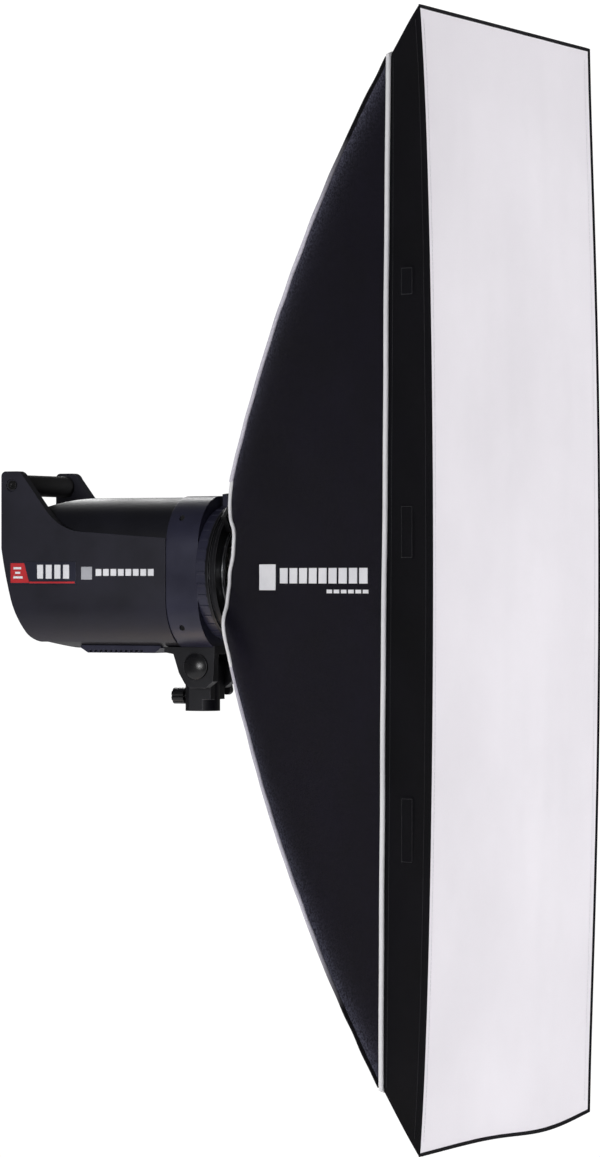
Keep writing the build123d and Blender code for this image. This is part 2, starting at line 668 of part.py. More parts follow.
def sync_socket():
    """Socket for a 3.5 mm jack plug."""
    nut = rod_x(5.2, (PANEL_X - 2.0, PANEL_X - 0.1), *SYNC_AT)
    body = rod_x(3.4, (PANEL_X - 0.2, PANEL_X + 16), *SYNC_AT)
    return nut + body - rod_x(1.85, (PANEL_X - 3, PANEL_X + 13), *SYNC_AT)


def control_board():
    """Circuit board behind the panel, with the encoder that the dial's shaft turns in."""
    board = block((PANEL_X + 10.2, PANEL_X + 11.8), (-51, 51), (AXIS_Z - 8, AXIS_Z + 46))
    encoder = block((PANEL_X + PANEL_THICK + 0.2, PANEL_X + 10.2), (DIAL_AT[0] - 7, DIAL_AT[0] + 7),
                    (DIAL_AT[1] - 7, DIAL_AT[1] + 7))
    return board + encoder - rod_x(3.05, (PANEL_X, PANEL_X + 8), *DIAL_AT)


def chassis():
    """Folded steel tray that carries the electronics."""
    tray = block((-180, 0), (-50, 50), (AXIS_Z - 54, AXIS_Z - 52))
    for side in (-1, 1):
        tray = tray + block((-180, 0), sorted((side * 48.5, side * 50)), (AXIS_Z - 53, AXIS_Z - 38))
    return tray


def capacitors():
    """Bank of four flash capacitors."""
    return together([rod_x(19.0, (-135, -35), y, AXIS_Z + z) for y in (-22.0, 22.0) for z in (-31.0, 12.0)])


def power_board():
    """Charging board with its transformer."""
    board = block((-175, -20), (-45, 45), (AXIS_Z + 40, AXIS_Z + 41.6))
    core = block((-120, -80), (-20, 20), (AXIS_Z + 41.7, AXIS_Z + 70))
    coil = block((-60, -35), (-14, 14), (AXIS_Z + 41.7, AXIS_Z + 60))
    return together([board, core, coil])


def fan_frame():
    """Square fan frame above the bottom vents."""
    frame = block((-139, -63), (-36, 36), (AXIS_Z - 79, AXIS_Z - 66))
    frame = frame - rod_z(34.0, (AXIS_Z - 80, AXIS_Z - 65), x=-101)
    hub = rod_z(14.0, (AXIS_Z - 79, AXIS_Z - 77.5), x=-101)
    for angle in (45, 135):
        strut = Pos(-101, 0, AXIS_Z - 78.25) * Rot(0, 0, angle) * Box(70, 3, 1.5)
        hub = hub + strut
    return frame + hub


def fan_rotor():
    """Seven-blade rotor."""
    z = (AXIS_Z - 77.0, AXIS_Z - 67.0)
    rotor = rod_z(15.0, z, x=-101)
    for turn in range(7):
        blade = Rot(0, 0, turn * 360 / 7) * Pos(23.5, 0, 0) * Rot(35, 0, 0) * Box(19, 12, 1.4)
        rotor = rotor + Pos(-101, 0, (z[0] + z[1]) / 2) * blade
    return rotor


def vent_grille():
    """Slotted cover over the air intake on the underside."""
    outline = [(-150, -91), (-140, -97), (-48, -97), (-40, -91), (-40, -88), (-150, -88)]
    plate = polygon_y(outline, (-34, 34))
    plate = plate - barrel_form(-0.1, (REAR_X, COLLAR_X))
    hollow = block((-139, -63), (-29, 29), (AXIS_Z - 94.5, AXIS_Z - 80))
    plate = plate - hollow
    for turn in range(11):
        x = -138 + turn * 7
        plate = plate - block((x, x + 3.5), (-36, 36), (AXIS_Z - 99, AXIS_Z - 93.5))
    return plate


# ---- Stand bracket -----------------------------------------------------------------------------

def bracket_base():
    """Fork fixed under the head: a base plate and two cheeks that straddle the stand socket."""
    outline = [(-36, -88), (-36, KEEL_Z + 2), (-24, KEEL_Z), (32, KEEL_Z), (32, -88)]
    base = polygon_y(outline, (-CHEEK_OUT, CHEEK_OUT))
    base = base - barrel_form(-COLLAR_OUT - 0.1, (REAR_X, MOUNT_X))
    fork = base
    for side in (-1, 1):
        low = PIVOT_Z - AXIS_Z - 26
        points = [(-24, KEEL_Z + 1), (-16, PIVOT_Z - AXIS_Z - 8), (-8, low + 5), (0, low),
                  (20, low), (30, low + 8), (32, KEEL_Z + 1)]
        cheek = polygon_y(points, sorted((side * CHEEK_IN, side * CHEEK_OUT)))
        fork = fork + cheek
    fork = fork - rod_y(BOLT_RADIUS + 0.1, (-40, 40), PIVOT_X, PIVOT_Z)
    return fork - rod_y(16.5, (-CHEEK_OUT - 1, -CHEEK_OUT + 2), PIVOT_X, PIVOT_Z)


def tilt_bolt():
    """Tilt axle with a domed head on the right cheek."""
    shank = rod_y(BOLT_RADIUS, (-CHEEK_OUT + 1, CHEEK_OUT + 9), PIVOT_X, PIVOT_Z)
    head = rod_y(15.5, (-CHEEK_OUT - 1.5, -CHEEK_OUT + 2), PIVOT_X, PIVOT_Z)
    crown = rod_y(15.5, (-CHEEK_OUT - 8, -CHEEK_OUT), PIVOT_X, PIVOT_Z)
    crown = crown & (Pos(PIVOT_X, -CHEEK_OUT + 22, PIVOT_Z) * Sphere(28.0))
    return shank + head + crown


def tilt_lever():
    """Hub and lever on the left cheek that clamp the tilt."""
    y = (CHEEK_OUT + 5, CHEEK_OUT + 12)
    hub = rod_y(12.0, (CHEEK_OUT + 1.6, CHEEK_OUT + 13), PIVOT_X, PIVOT_Z)
    place = Pos(PIVOT_X, 0, PIVOT_Z) * Rot(0, -12, 0)
    arm = place * block((-6, 6), y, (-30, 0)) + place * rod_y(6.0, y, 0, -30)
    return hub + arm - rod_y(BOLT_RADIUS + 0.05, (CHEEK_OUT, CHEEK_OUT + 9.2), PIVOT_X, PIVOT_Z)


def friction_discs():
    """Fibre discs between the socket's tongue and the cheeks, and one under the lever's hub."""
    gaps = [(-CHEEK_IN + 0.05, -TONGUE_HALF - 0.05), (TONGUE_HALF + 0.05, CHEEK_IN - 0.05),
            (CHEEK_OUT + 0.1, CHEEK_OUT + 1.5)]
    hole = rod_y(BOLT_RADIUS + 0.1, (-CHEEK_OUT, CHEEK_OUT + 2), PIVOT_X, PIVOT_Z)
    return together([rod_y(11.5, gap, PIVOT_X, PIVOT_Z) - hole for gap in gaps])


def stand_socket():
    """Socket for the stand's stud, with the tongue that the tilt axle passes through."""
    body = rod_z(SOCKET_RADIUS, (0, 36))
    body = body & block((-30, 30), (-TONGUE_HALF, TONGUE_HALF), (-1, 60))
    tongue = rod_y(TONGUE_RADIUS, (-TONGUE_HALF, TONGUE_HALF), PIVOT_X, PIVOT_Z)
    neck_x = (PIVOT_X - TONGUE_RADIUS, PIVOT_X + TONGUE_RADIUS)
    neck = block(neck_x, (-TONGUE_HALF, TONGUE_HALF), (14, PIVOT_Z))
    solid = body + tongue + neck
    solid = solid - rod_y(BOLT_RADIUS + 0.05, (-40, 40), PIVOT_X, PIVOT_Z)
    solid = solid - rod_z(SOCKET_BORE, (-1, SOCKET_DEPTH))
    return solid - rod_x(4.08, (-40, -1), z=STUD_SCREW_Z)


def stud_screw():
    """Clamp screw with a lobed knob that holds the stand's stud."""
    stem = rod_x(4.0, (-26, -SOCKET_BORE - 2.5), z=STUD_SCREW_Z)
    knob = rod_x(10.0, (-38, -22.5), z=STUD_SCREW_Z)
    for turn in range(8):
        angle = math.radians(45 * turn)
        knob = knob - rod_x(1.7, (-39, -22), 10.6 * math.cos(angle), STUD_SCREW_Z + 10.6 * math.sin(angle))
    return stem + knob


def clamp_shoe():
    """Brass shoe at the end of the clamp screw."""
    return rod_x(3.9, (-SOCKET_BORE - 2.3, -SOCKET_BORE - 0.6), z=STUD_SCREW_Z)


# ---- Assembly ----------------------------------------------------------------------------------

def build():
    """Every node by name."""
    nodes = shell_panels()
    for name, place in zip(("menu", "lamp", "sound", "test"), BUTTONS_AT):
        nodes[f"button_{name}"] = push_button(place)
    for make in (
        front_lip, tensioned_rods, outer_diffuser, diffuser_border, inner_diffuser, inner_binding,
        rod_tips, rod_sockets, corner_piping, front_piping, fastener_patches, rotating_ring,
        brake_screw, adapter_ring, retaining_ring, housing, side_covers, side_badges, handle_grip,
        handle_screws, front_collar, collar_screws, mount_ring, lock_collar, light_pan, lamp_base,
        flash_tube, modelling_lamp, glass_dome, control_panel, display, power_dial,
        power_switch_frame, power_rocker, mains_inlet, fuse_holder, sync_socket, control_board,
        chassis, capacitors, power_board, fan_frame, fan_rotor, vent_grille, bracket_base,
        tilt_bolt, tilt_lever, friction_discs, stand_socket, stud_screw, clamp_shoe,
    ):
        nodes[make.__name__] = make()
    return nodes


os.makedirs("parts", exist_ok=True)
for node, shape in build().items():
    export_step(shape, f"parts/{node}.step")
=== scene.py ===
"""Looks of the studio softbox and the flash head that carries it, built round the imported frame."""

import json
import math

import bpy
import numpy as np
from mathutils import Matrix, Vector


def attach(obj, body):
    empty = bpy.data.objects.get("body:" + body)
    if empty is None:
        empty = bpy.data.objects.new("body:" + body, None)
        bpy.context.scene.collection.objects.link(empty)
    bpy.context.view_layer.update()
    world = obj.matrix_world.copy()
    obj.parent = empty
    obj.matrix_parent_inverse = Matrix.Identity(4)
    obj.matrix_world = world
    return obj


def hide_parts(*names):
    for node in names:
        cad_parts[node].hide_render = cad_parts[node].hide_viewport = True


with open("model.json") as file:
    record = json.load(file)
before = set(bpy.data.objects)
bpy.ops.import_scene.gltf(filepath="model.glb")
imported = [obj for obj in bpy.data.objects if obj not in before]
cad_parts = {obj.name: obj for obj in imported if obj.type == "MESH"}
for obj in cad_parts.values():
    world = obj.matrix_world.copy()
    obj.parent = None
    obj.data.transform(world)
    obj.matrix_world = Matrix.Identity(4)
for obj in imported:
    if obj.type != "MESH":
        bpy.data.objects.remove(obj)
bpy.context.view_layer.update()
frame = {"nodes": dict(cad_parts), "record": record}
nodes = frame["nodes"]

# ---- Dimensions, in metres ---------------------------------------------------------------------

AXIS_Z = 0.167            # flash head's axis
FRONT_DROP = 0.009        # the front's centre hangs this far below the axis
FRONT_Z = AXIS_Z - FRONT_DROP
HALF_WIDTH, HALF_HEIGHT = 0.250, 0.650
BACK_X, CORNER_X = 0.058, 0.403
BACK_HALF_WIDTH, BACK_HALF_HEIGHT = 0.055, 0.070
FRONT_BOW = 0.015         # the middle of the front stands this far ahead of its corners
PANEL_BULGE = 0.030       # each wall's arc passes this far behind the middle of a straight wall
NECK_X = 0.070            # rear edge of the four panels
SEAM_X = 0.359            # seam between shell and lip, at the top
SEAM_LEAN = 0.012         # the seam runs this far back towards the bottom
CLOTH, LIP_CLOTH, SHEET = 0.0018, 0.0011, 0.0011
SEAM_HIGHLIGHT_REACH = 0.016            # how far the painted highlight beside a seam reaches
LIP_HOLLOW = 0.0016       # the lip's long sides sink in this far between seam and front edge
LIP_ROWS = (0.10, 0.86)   # where the two stitch rows run, as shares of the lip's depth
PATCH_X, PATCH_WIDTH = 0.3725, 0.019   # rear edge and depth of the patches on the lip
FRONT_PULL = 0.0080       # the sheet draws the middle of each long front edge in by this much
BOTTOM_SAG = 0.009        # the lower front edge hangs down by this much
SHEET_BACK = 0.0016       # the front sheet lies this far behind the lip's front edge
INNER_X = 0.230           # rear face of the inner sheet
INNER_Z = AXIS_Z - 0.004
INNER_HALF = (0.150, 0.392)
PIPING = 0.003            # radius of the bead between shell and lip
NECK_BEAD = 0.0023
CORNER_BEAD = 0.0024
COVER_Y = 0.075           # outer face of the head's side covers
PANEL_FACE_X = -0.230     # outer face of the rear panel
DISPLAY_FACE_X = PANEL_FACE_X + 0.0003
PRINT = 0.00015           # thickness of a printed mark


def circle_through(a, b, c):
    """Centre and radius of the circle through three points."""
    (ax, ay), (bx, by), (cx, cy) = a, b, c
    d = 2 * (ax * (by - cy) + bx * (cy - ay) + cx * (ay - by))
    a2, b2, c2 = ax * ax + ay * ay, bx * bx + by * by, cx * cx + cy * cy
    x = (a2 * (by - cy) + b2 * (cy - ay) + c2 * (ay - by)) / d
    y = (a2 * (cx - bx) + b2 * (ax - cx) + c2 * (bx - ax)) / d
    return x, y, math.hypot(ax - x, ay - y)


def wall_arc(back_half, front_half):
    """Arc that one pair of walls follows, as distance from the axis over x."""
    middle = ((BACK_X + CORNER_X) / 2 - PANEL_BULGE, (back_half + front_half) / 2)
    return circle_through((BACK_X, back_half), middle, (CORNER_X, front_half))


SIDE_ARC = wall_arc(BACK_HALF_WIDTH, HALF_WIDTH)
END_ARCS = {s: wall_arc(BACK_HALF_HEIGHT, HALF_HEIGHT - s * FRONT_DROP) for s in (1, -1)}
FRONT_RADIUS = (HALF_HEIGHT**2 + FRONT_BOW**2) / (2 * FRONT_BOW)


def wall(arc, x):
    """Distance of a wall from the axis at x."""
    return arc[1] + np.sqrt(arc[2] ** 2 - (x - arc[0]) ** 2)


def half_height(x, t):
    """Distance of the end wall that t (-1 bottom, 1 top) points to."""
    return np.where(t > 0, wall(END_ARCS[1], x), wall(END_ARCS[-1], x))


def front_x(z):
    """The bowed front at a height."""
    centre = CORNER_X + FRONT_BOW - FRONT_RADIUS
    return centre + np.sqrt(FRONT_RADIUS**2 - (z - FRONT_Z) ** 2)


def seam_x(t):
    """Seam between shell and lip, for t from -1 at the bottom to 1 at the top."""
    return SEAM_X - SEAM_LEAN * (1 - t) / 2


def front_pull(t):
    """How far the front sheet draws a long edge in, at a height t from -1 to 1."""
    return FRONT_PULL * (1 - np.abs(t) ** 7)


def ripples(a, b, seed, low=8.0, high=60.0):
    """Smooth irregular field of about unit size over two coordinates in metres."""
    rng = np.random.default_rng(seed)
    waves = 9
    field = np.zeros_like(a + b)
    for _ in range(waves):
        size = rng.uniform(low, high)
        turn = rng.uniform(0, math.tau)
        phase = rng.uniform(0, math.tau)
        field = field + np.sin(size * (a * math.cos(turn) + b * math.sin(turn)) + phase)
    return field / math.sqrt(waves)


# ---- Mesh builders -----------------------------------------------------------------------------


def normals_of(points):
    """Unit normals of a grid of points."""
    normal = np.cross(np.gradient(points, axis=0), np.gradient(points, axis=1))
    return normal / np.linalg.norm(normal, axis=2, keepdims=True)


def lengths_along(points, axis):
    """Distance walked along one axis of a grid of points."""
    steps = np.linalg.norm(np.diff(points, axis=axis), axis=2)
    start = np.zeros_like(np.take(steps, [0], axis=axis))
    return np.cumsum(np.concatenate([start, steps], axis=axis), axis=axis)


def grid_faces(cols, rows, offset, flipped):
    """Quads of a grid whose vertices start at an offset."""
    index = offset + np.arange(cols * rows).reshape(cols, rows)
    quads = np.stack([index[:-1, :-1], index[1:, :-1], index[1:, 1:], index[:-1, 1:]], axis=-1)
    quads = quads.reshape(-1, 4)
    return quads[:, ::-1] if flipped else quads


def cloth_part(outer, thick, inside=1):
    """Closed cloth layer behind a grid of points on its outer face."""
    cols, rows = outer.shape[:2]
    count = cols * rows
    inner = outer - thick * normals_of(outer)
    rim_loop = [(i, 0) for i in range(cols)] + [(cols - 1, j) for j in range(1, rows)]
    rim_loop += [(i, rows - 1) for i in range(cols - 2, -1, -1)]
    rim_loop += [(0, j) for j in range(rows - 2, 0, -1)]
    ring = np.array([i * rows + j for i, j in rim_loop])
    after = np.roll(ring, -1)
    rim = np.stack([after, ring, ring + count, after + count], axis=-1)
    front = grid_faces(cols, rows, 0, False)
    back = grid_faces(cols, rows, count, True)
    faces = np.concatenate([front, back, rim])
    kinds = np.concatenate([np.zeros(len(front)), np.full(len(back), inside), np.zeros(len(rim))])
    along, across = lengths_along(outer, 0), lengths_along(outer, 1)
    uv = np.stack([along, across], axis=-1).reshape(-1, 2)
    # Painted highlight: the pale band beside each long edge, kept in the "seam" attribute.
    edge = np.minimum(across, across[:, -1:] - across)
    seam_highlight_mask = np.exp(-edge / SEAM_HIGHLIGHT_REACH).reshape(-1)
    verts = np.concatenate([outer.reshape(-1, 3), inner.reshape(-1, 3)])
    return verts, faces, kinds, np.concatenate([uv, uv]), np.concatenate([seam_highlight_mask, seam_highlight_mask])


def tube_part(path, radius, sides=10, closed=False, kind=0):
    """Round bead along a path; radius is one number or one for each point."""
    path = np.asarray(path, float)
    count = len(path)
    if closed:
        tangent = np.roll(path, -1, axis=0) - np.roll(path, 1, axis=0)
    else:
        tangent = np.gradient(path, axis=0)
    tangent /= np.linalg.norm(tangent, axis=1, keepdims=True)
    side = np.cross(tangent[0], (0.31, 0.84, 0.44))
    frames = []
    for direction in tangent:
        side = side - direction * np.dot(side, direction)
        side /= np.linalg.norm(side)
        frames.append((side, np.cross(direction, side)))
    radii = np.broadcast_to(np.asarray(radius, float), (count,))
    angles = np.linspace(0, math.tau, sides, endpoint=False)
    verts = []
    for point, (a, b), r in zip(path, frames, radii):
        for angle in angles:
            verts.append(point + r * (math.cos(angle) * a + math.sin(angle) * b))
    walked = np.concatenate([[0], np.cumsum(np.linalg.norm(np.diff(path, axis=0), axis=1))])
    faces = []
    for i in range(count if closed else count - 1):
        here, there = i * sides, ((i + 1) % count) * sides
        for j in range(sides):
            k = (j + 1) % sides
            faces.append((here + j, here + k, there + k, there + j))
    if not closed:
        faces.append(tuple(range(sides))[::-1])
        faces.append(tuple((count - 1) * sides + j for j in range(sides)))
    uv = [(walked[i], angles[j] * radii[i]) for i in range(count) for j in range(sides)]
    return np.array(verts), faces, np.full(len(faces), kind), np.array(uv), np.zeros(len(verts))


def slab_part(outline, normal, kind=0):
    """Printed mark: outline points in order, raised along a normal."""
    outline, normal = np.asarray(outline, float), np.asarray(normal, float)
    count = len(outline)
    verts = np.concatenate([outline, outline + PRINT * normal])
    turn = np.zeros(3)
    for i in range(count):
        turn += np.cross(outline[i] - outline[0], outline[(i + 1) % count] - outline[0])
    step = 1 if np.dot(turn, normal) > 0 else -1
    base, top = list(range(count))[::-step], [count + i for i in range(count)][::step]
    faces = [tuple(base), tuple(top)]
    for i in range(count):
        k = (i + 1) % count
        side = (i, k, count + k, count + i)
        faces.append(side if step == 1 else side[::-1])
    flat = verts[:, [0, 2]] if abs(normal[1]) > 0.5 else verts[:, [1, 2]]
    return verts, faces, np.full(len(faces), kind), flat, np.zeros(len(verts))


def resampled(path, spacing):
    """Points along a path, evenly spaced."""
    path = np.asarray(path, float)
    walked = np.concatenate([[0], np.cumsum(np.linalg.norm(np.diff(path, axis=0), axis=1))])
    marks = np.linspace(0, walked[-1], max(2, int(round(walked[-1] / spacing)) + 1))
    return np.stack([np.interp(marks, walked, path[:, k]) for k in range(3)], axis=-1)


def stitch_parts(path, normal, pitch=0.0045, radius=0.00035, kind=0):
    """Row of raised stitches along a path that lies on cloth with a given normal."""
    points = resampled(path, pitch)
    lift = radius * np.asarray(normal, float)
    parts = []
    for a, b in zip(points[:-1], points[1:]):
        first, last = a + 0.16 * (b - a), a + 0.84 * (b - a)
        line = [first - lift, first + 0.6 * lift, (a + b) / 2 + lift, last + 0.6 * lift, last - lift]
        parts.append(tube_part(line, radius, sides=5, kind=kind))
    return parts


def mesh_piece(name, parts, materials, body, replaces=()):
    """One object made of parts and given materials, riding on a body."""
    verts, faces, kinds, uvs, seams = [], [], [], [], []
    offset = 0
    for part_verts, part_faces, part_kinds, part_uv, part_seam in parts:
        verts.append(part_verts)
        faces += [tuple(int(i) + offset for i in face) for face in part_faces]
        kinds.append(part_kinds)
        uvs.append(part_uv)
        seams.append(part_seam)
        offset += len(part_verts)
    mesh = bpy.data.meshes.new(name)
    mesh.from_pydata(np.concatenate(verts).tolist(), [], faces)
    for material in materials:
        mesh.materials.append(material)
    mesh.polygons.foreach_set("material_index", np.concatenate(kinds).astype(np.int32))
    mesh.polygons.foreach_set("use_smooth", np.ones(len(faces), bool))
    corners = np.zeros(len(mesh.loops), np.int32)
    mesh.loops.foreach_get("vertex_index", corners)
    layer = mesh.uv_layers.new(name="weave")
    layer.data.foreach_set("uv", np.concatenate(uvs)[corners].astype(np.float32).reshape(-1))
    seam = mesh.attributes.new("seam", "FLOAT", "POINT")
    seam.data.foreach_set("value", np.concatenate(seams).astype(np.float32))
    mesh.set_sharp_from_angle(angle=math.radians(40))
    mesh.update()
    piece = bpy.data.objects.new(name, mesh)
    bpy.context.scene.collection.objects.link(piece)
    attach(piece, body)
    if replaces:
        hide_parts(*replaces)
    return piece


# ---- Material builders -------------------------------------------------------------------------


def srgb(red, green, blue):
    """Linear colour of a display colour given in steps of 255."""
    def linear(value):
        value /= 255
        return value / 12.92 if value <= 0.04045 else ((value + 0.055) / 1.055) ** 2.4
    return (linear(red), linear(green), linear(blue), 1.0)


def new_material(name):
    """Empty material with a Principled shader."""
    material = bpy.data.materials.new(name)
    material.use_nodes = True
    tree = material.node_tree
    tree.nodes.clear()
    shader = tree.nodes.new("ShaderNodeBsdfPrincipled")
    output = tree.nodes.new("ShaderNodeOutputMaterial")
    tree.links.new(shader.outputs["BSDF"], output.inputs["Surface"])
    return material, tree, shader


def principled(material):
    """A material's Principled shader."""
    return next(n for n in material.node_tree.nodes if n.type == "BSDF_PRINCIPLED")


def plug(node, inputs):
    """Set a node's sockets to values, or link other sockets to them."""
    for key, value in inputs.items():
        if isinstance(value, bpy.types.NodeSocket):
            node.id_data.links.new(value, node.inputs[key])
        else:
            node.inputs[key].default_value = value


def add(tree, kind, inputs, **settings):
    """New node with its settings and its sockets plugged."""
    node = tree.nodes.new(kind)
    for key, value in settings.items():
        setattr(node, key, value)
    plug(node, inputs)
    return node


def object_place(tree):
    """Place on the object, in metres."""
    return add(tree, "ShaderNodeTexCoord", {}).outputs["Object"]


def noise(tree, vector, scale, detail=3.0, roughness=0.55):
    """Noise value over a vector."""
    inputs = {"Vector": vector, "Scale": scale, "Detail": detail, "Roughness": roughness}
    return add(tree, "ShaderNodeTexNoise", inputs).outputs["Fac"]


def remap(tree, value, low, high, to_low, to_high):
    """Linear remap of a value, clamped."""
    inputs = {"Value": value, "From Min": low, "From Max": high, "To Min": to_low, "To Max": to_high}
    return add(tree, "ShaderNodeMapRange", inputs).outputs["Result"]


def math_node(tree, operation, a, b):
    """Two-input math node."""
    return add(tree, "ShaderNodeMath", {0: a, 1: b}, operation=operation).outputs[0]


def mix_colour(tree, fraction, a, b):
    """Mix of two colours."""
    node = add(tree, "ShaderNodeMix", {}, data_type="RGBA")
    for name, value in (("Factor_Float", fraction), ("A_Color", a), ("B_Color", b)):
        socket = next(s for s in node.inputs if s.identifier == name)
        if isinstance(value, bpy.types.NodeSocket):
            tree.links.new(value, socket)
        else:
            socket.default_value = value
    return next(s for s in node.outputs if s.identifier == "Result_Color")


def bump(tree, height, distance, strength=1.0, normal=None):
    """Bump of a given real height."""
    inputs = {"Height": height, "Distance": distance, "Strength": strength}
    if normal is not None:
        inputs["Normal"] = normal
    return add(tree, "ShaderNodeBump", inputs).outputs["Normal"]


def woven(name, dark, light, thread, depth, rough, sheen, seam_highlight=None, contrast=0.35, blotch=9.0,
          metallic=0.0):
    """Woven cloth: crossed threads, fuzz, soft blotches and, where asked, a painted highlight band
    beside its seams.
    """
    material, tree, shader = new_material(name)
    uv = add(tree, "ShaderNodeUVMap", {}, uv_map="weave").outputs["UV"]
    place = object_place(tree)
    wave = {"Vector": uv, "Scale": math.tau / (20 * thread), "Distortion": 0.6, "Detail": 1.0}
    warp = add(tree, "ShaderNodeTexWave", wave, bands_direction="X").outputs["Fac"]
    weft = add(tree, "ShaderNodeTexWave", wave, bands_direction="Y").outputs["Fac"]
    threads = math_node(tree, "MAXIMUM", warp, weft)
    fuzz = noise(tree, place, 420.0, 2.0)
    cloud = noise(tree, place, blotch, 4.0)
    speckle = math_node(tree, "ADD", math_node(tree, "MULTIPLY", threads, 0.35), fuzz)
    speckle = remap(tree, speckle, 0.45, 1.05, 0.0, contrast)
    shade = math_node(tree, "ADD", speckle, remap(tree, cloud, 0.35, 0.68, 0.0, 1 - contrast))
    colour = mix_colour(tree, shade, dark, light)
    # Painted highlight: a pale band beside the seams, broken up by the fuzz.
    if seam_highlight is not None:
        highlight_band = add(tree, "ShaderNodeAttribute", {}, attribute_name="seam").outputs["Fac"]
        highlight_band = math_node(tree, "MULTIPLY", highlight_band, remap(tree, fuzz, 0.35, 0.65, 0.15, 1.0))
        colour = mix_colour(tree, highlight_band, colour, seam_highlight)
    creases = bump(tree, noise(tree, place, 34.0, 3.0), 0.0012, 0.5)
    fine = math_node(tree, "ADD", threads, math_node(tree, "MULTIPLY", fuzz, 0.8))
    plug(shader, {
        "Base Color": colour,
        "Roughness": remap(tree, cloud, 0.3, 0.7, rough - 0.06, rough + 0.06),
        "Normal": bump(tree, fine, depth, 0.8, creases),
        "Specular IOR Level": 0.12,
        "Sheen Weight": sheen,
        "Sheen Roughness": 0.45,
        "Metallic": metallic,
    })
    return material


def grained(name, dark, light, rough, spread, grain, depth, edge=None, metallic=0.0,
            stretch=(1, 1, 1), coat=0.0):
    """Moulded, painted or machined surface: fine grain, uneven gloss, faint scuffs, worn edges."""
    material, tree, shader = new_material(name)
    place = object_place(tree)
    place = add(tree, "ShaderNodeMapping", {"Vector": place, "Scale": stretch}).outputs["Vector"]
    cloud = noise(tree, place, 16.0, 4.0)
    fine = noise(tree, place, grain, 2.0)
    scratch = remap(tree, noise(tree, place, 90.0, 8.0, 0.75), 0.60, 0.72, 0.0, 0.12)
    shade = math_node(tree, "ADD", remap(tree, cloud, 0.35, 0.65, 0.0, 0.7),
                      remap(tree, fine, 0.35, 0.65, 0.0, 0.3))
    colour = mix_colour(tree, shade, dark, light)
    rounded = add(tree, "ShaderNodeBevel", {"Radius": 0.0009}, samples=3).outputs["Normal"]
    if edge is not None:
        flat = add(tree, "ShaderNodeNewGeometry", {}).outputs["Normal"]
        facing = add(tree, "ShaderNodeVectorMath", {0: rounded, 1: flat}, operation="DOT_PRODUCT")
        worn = remap(tree, facing.outputs["Value"], 0.80, 0.99, 1.0, 0.0)
        worn = math_node(tree, "MULTIPLY", worn, remap(tree, cloud, 0.40, 0.62, 0.15, 0.9))
        colour = mix_colour(tree, worn, colour, edge)
    gloss = remap(tree, cloud, 0.3, 0.7, rough - spread, rough + spread)
    plug(shader, {
        "Base Color": colour,
        "Roughness": math_node(tree, "ADD", gloss, scratch),
        "Normal": bump(tree, fine, depth, 0.7, rounded),
        "Metallic": metallic,
        "Specular IOR Level": 0.5 if metallic else 0.35,
        "Coat Weight": coat,
        "Coat Roughness": 0.12,
    })
    return material


def painted_shade_away_from_axis(material, dark, start, stop):
    """Painted shade: darken a material away from the head's axis, between two heights above or below it.
    """
    tree = material.node_tree
    shader = principled(material)
    colour = shader.inputs["Base Color"].links[0].from_socket
    height = add(tree, "ShaderNodeSeparateXYZ", {0: object_place(tree)}).outputs["Z"]
    away = math_node(tree, "ABSOLUTE", math_node(tree, "SUBTRACT", height, AXIS_Z), 0.0)
    fraction = remap(tree, away, start, stop, 0.0, 1.0)
    plug(shader, {"Base Color": mix_colour(tree, fraction, colour, dark)})
    return material


def clear_glass(name, tint, rough, frost=0.0):
    """Glass with faint streaks and, where asked, a frosted skin."""
    material, tree, shader = new_material(name)
    place = object_place(tree)
    streak = noise(tree, place, 60.0, 5.0)
    plug(shader, {
        "Base Color": mix_colour(tree, streak, tint, (0.95, 0.96, 0.97, 1)),
        "Roughness": remap(tree, streak, 0.4, 0.7, rough, rough + 0.08 + frost),
        "Normal": bump(tree, noise(tree, place, 300.0), 0.00005, 0.4),
        "Transmission Weight": 0.92,
        "IOR": 1.46,
    })
    return material


def circuit(name):
    """Circuit board: green mask with darker track blocks and tinned pads."""
    material, tree, shader = new_material(name)
    place = object_place(tree)
    tracks = add(tree, "ShaderNodeTexBrick", {"Vector": place, "Scale": 140.0, "Mortar Size": 0.03,
                                             "Color1": (0.01, 0.09, 0.04, 1),
                                             "Color2": (0.015, 0.13, 0.06, 1),
                                             "Mortar": (0.03, 0.2, 0.1, 1)})
    pads = add(tree, "ShaderNodeTexVoronoi", {"Vector": place, "Scale": 260.0}).outputs["Distance"]
    tin = remap(tree, pads, 0.12, 0.16, 1.0, 0.0)
    plug(shader, {
        "Base Color": mix_colour(tree, tin, tracks.outputs["Color"], (0.62, 0.60, 0.55, 1)),
        "Roughness": remap(tree, tin, 0, 1, 0.35, 0.22),
        "Normal": bump(tree, tracks.outputs["Fac"], 0.0001, 0.6),
    })
    return material


def lit(name, colour, strength):
    """Glowing display segment with a slightly uneven glow."""
    material, tree, shader = new_material(name)
    place = object_place(tree)
    glow = remap(tree, noise(tree, place, 500.0), 0.3, 0.7, 0.7, 1.0)
    tint = mix_colour(tree, glow, (0.02, 0.01, 0.0, 1), colour)
    plug(shader, {"Base Color": tint, "Emission Color": tint, "Emission Strength": strength,
                  "Roughness": 0.3})
    return material


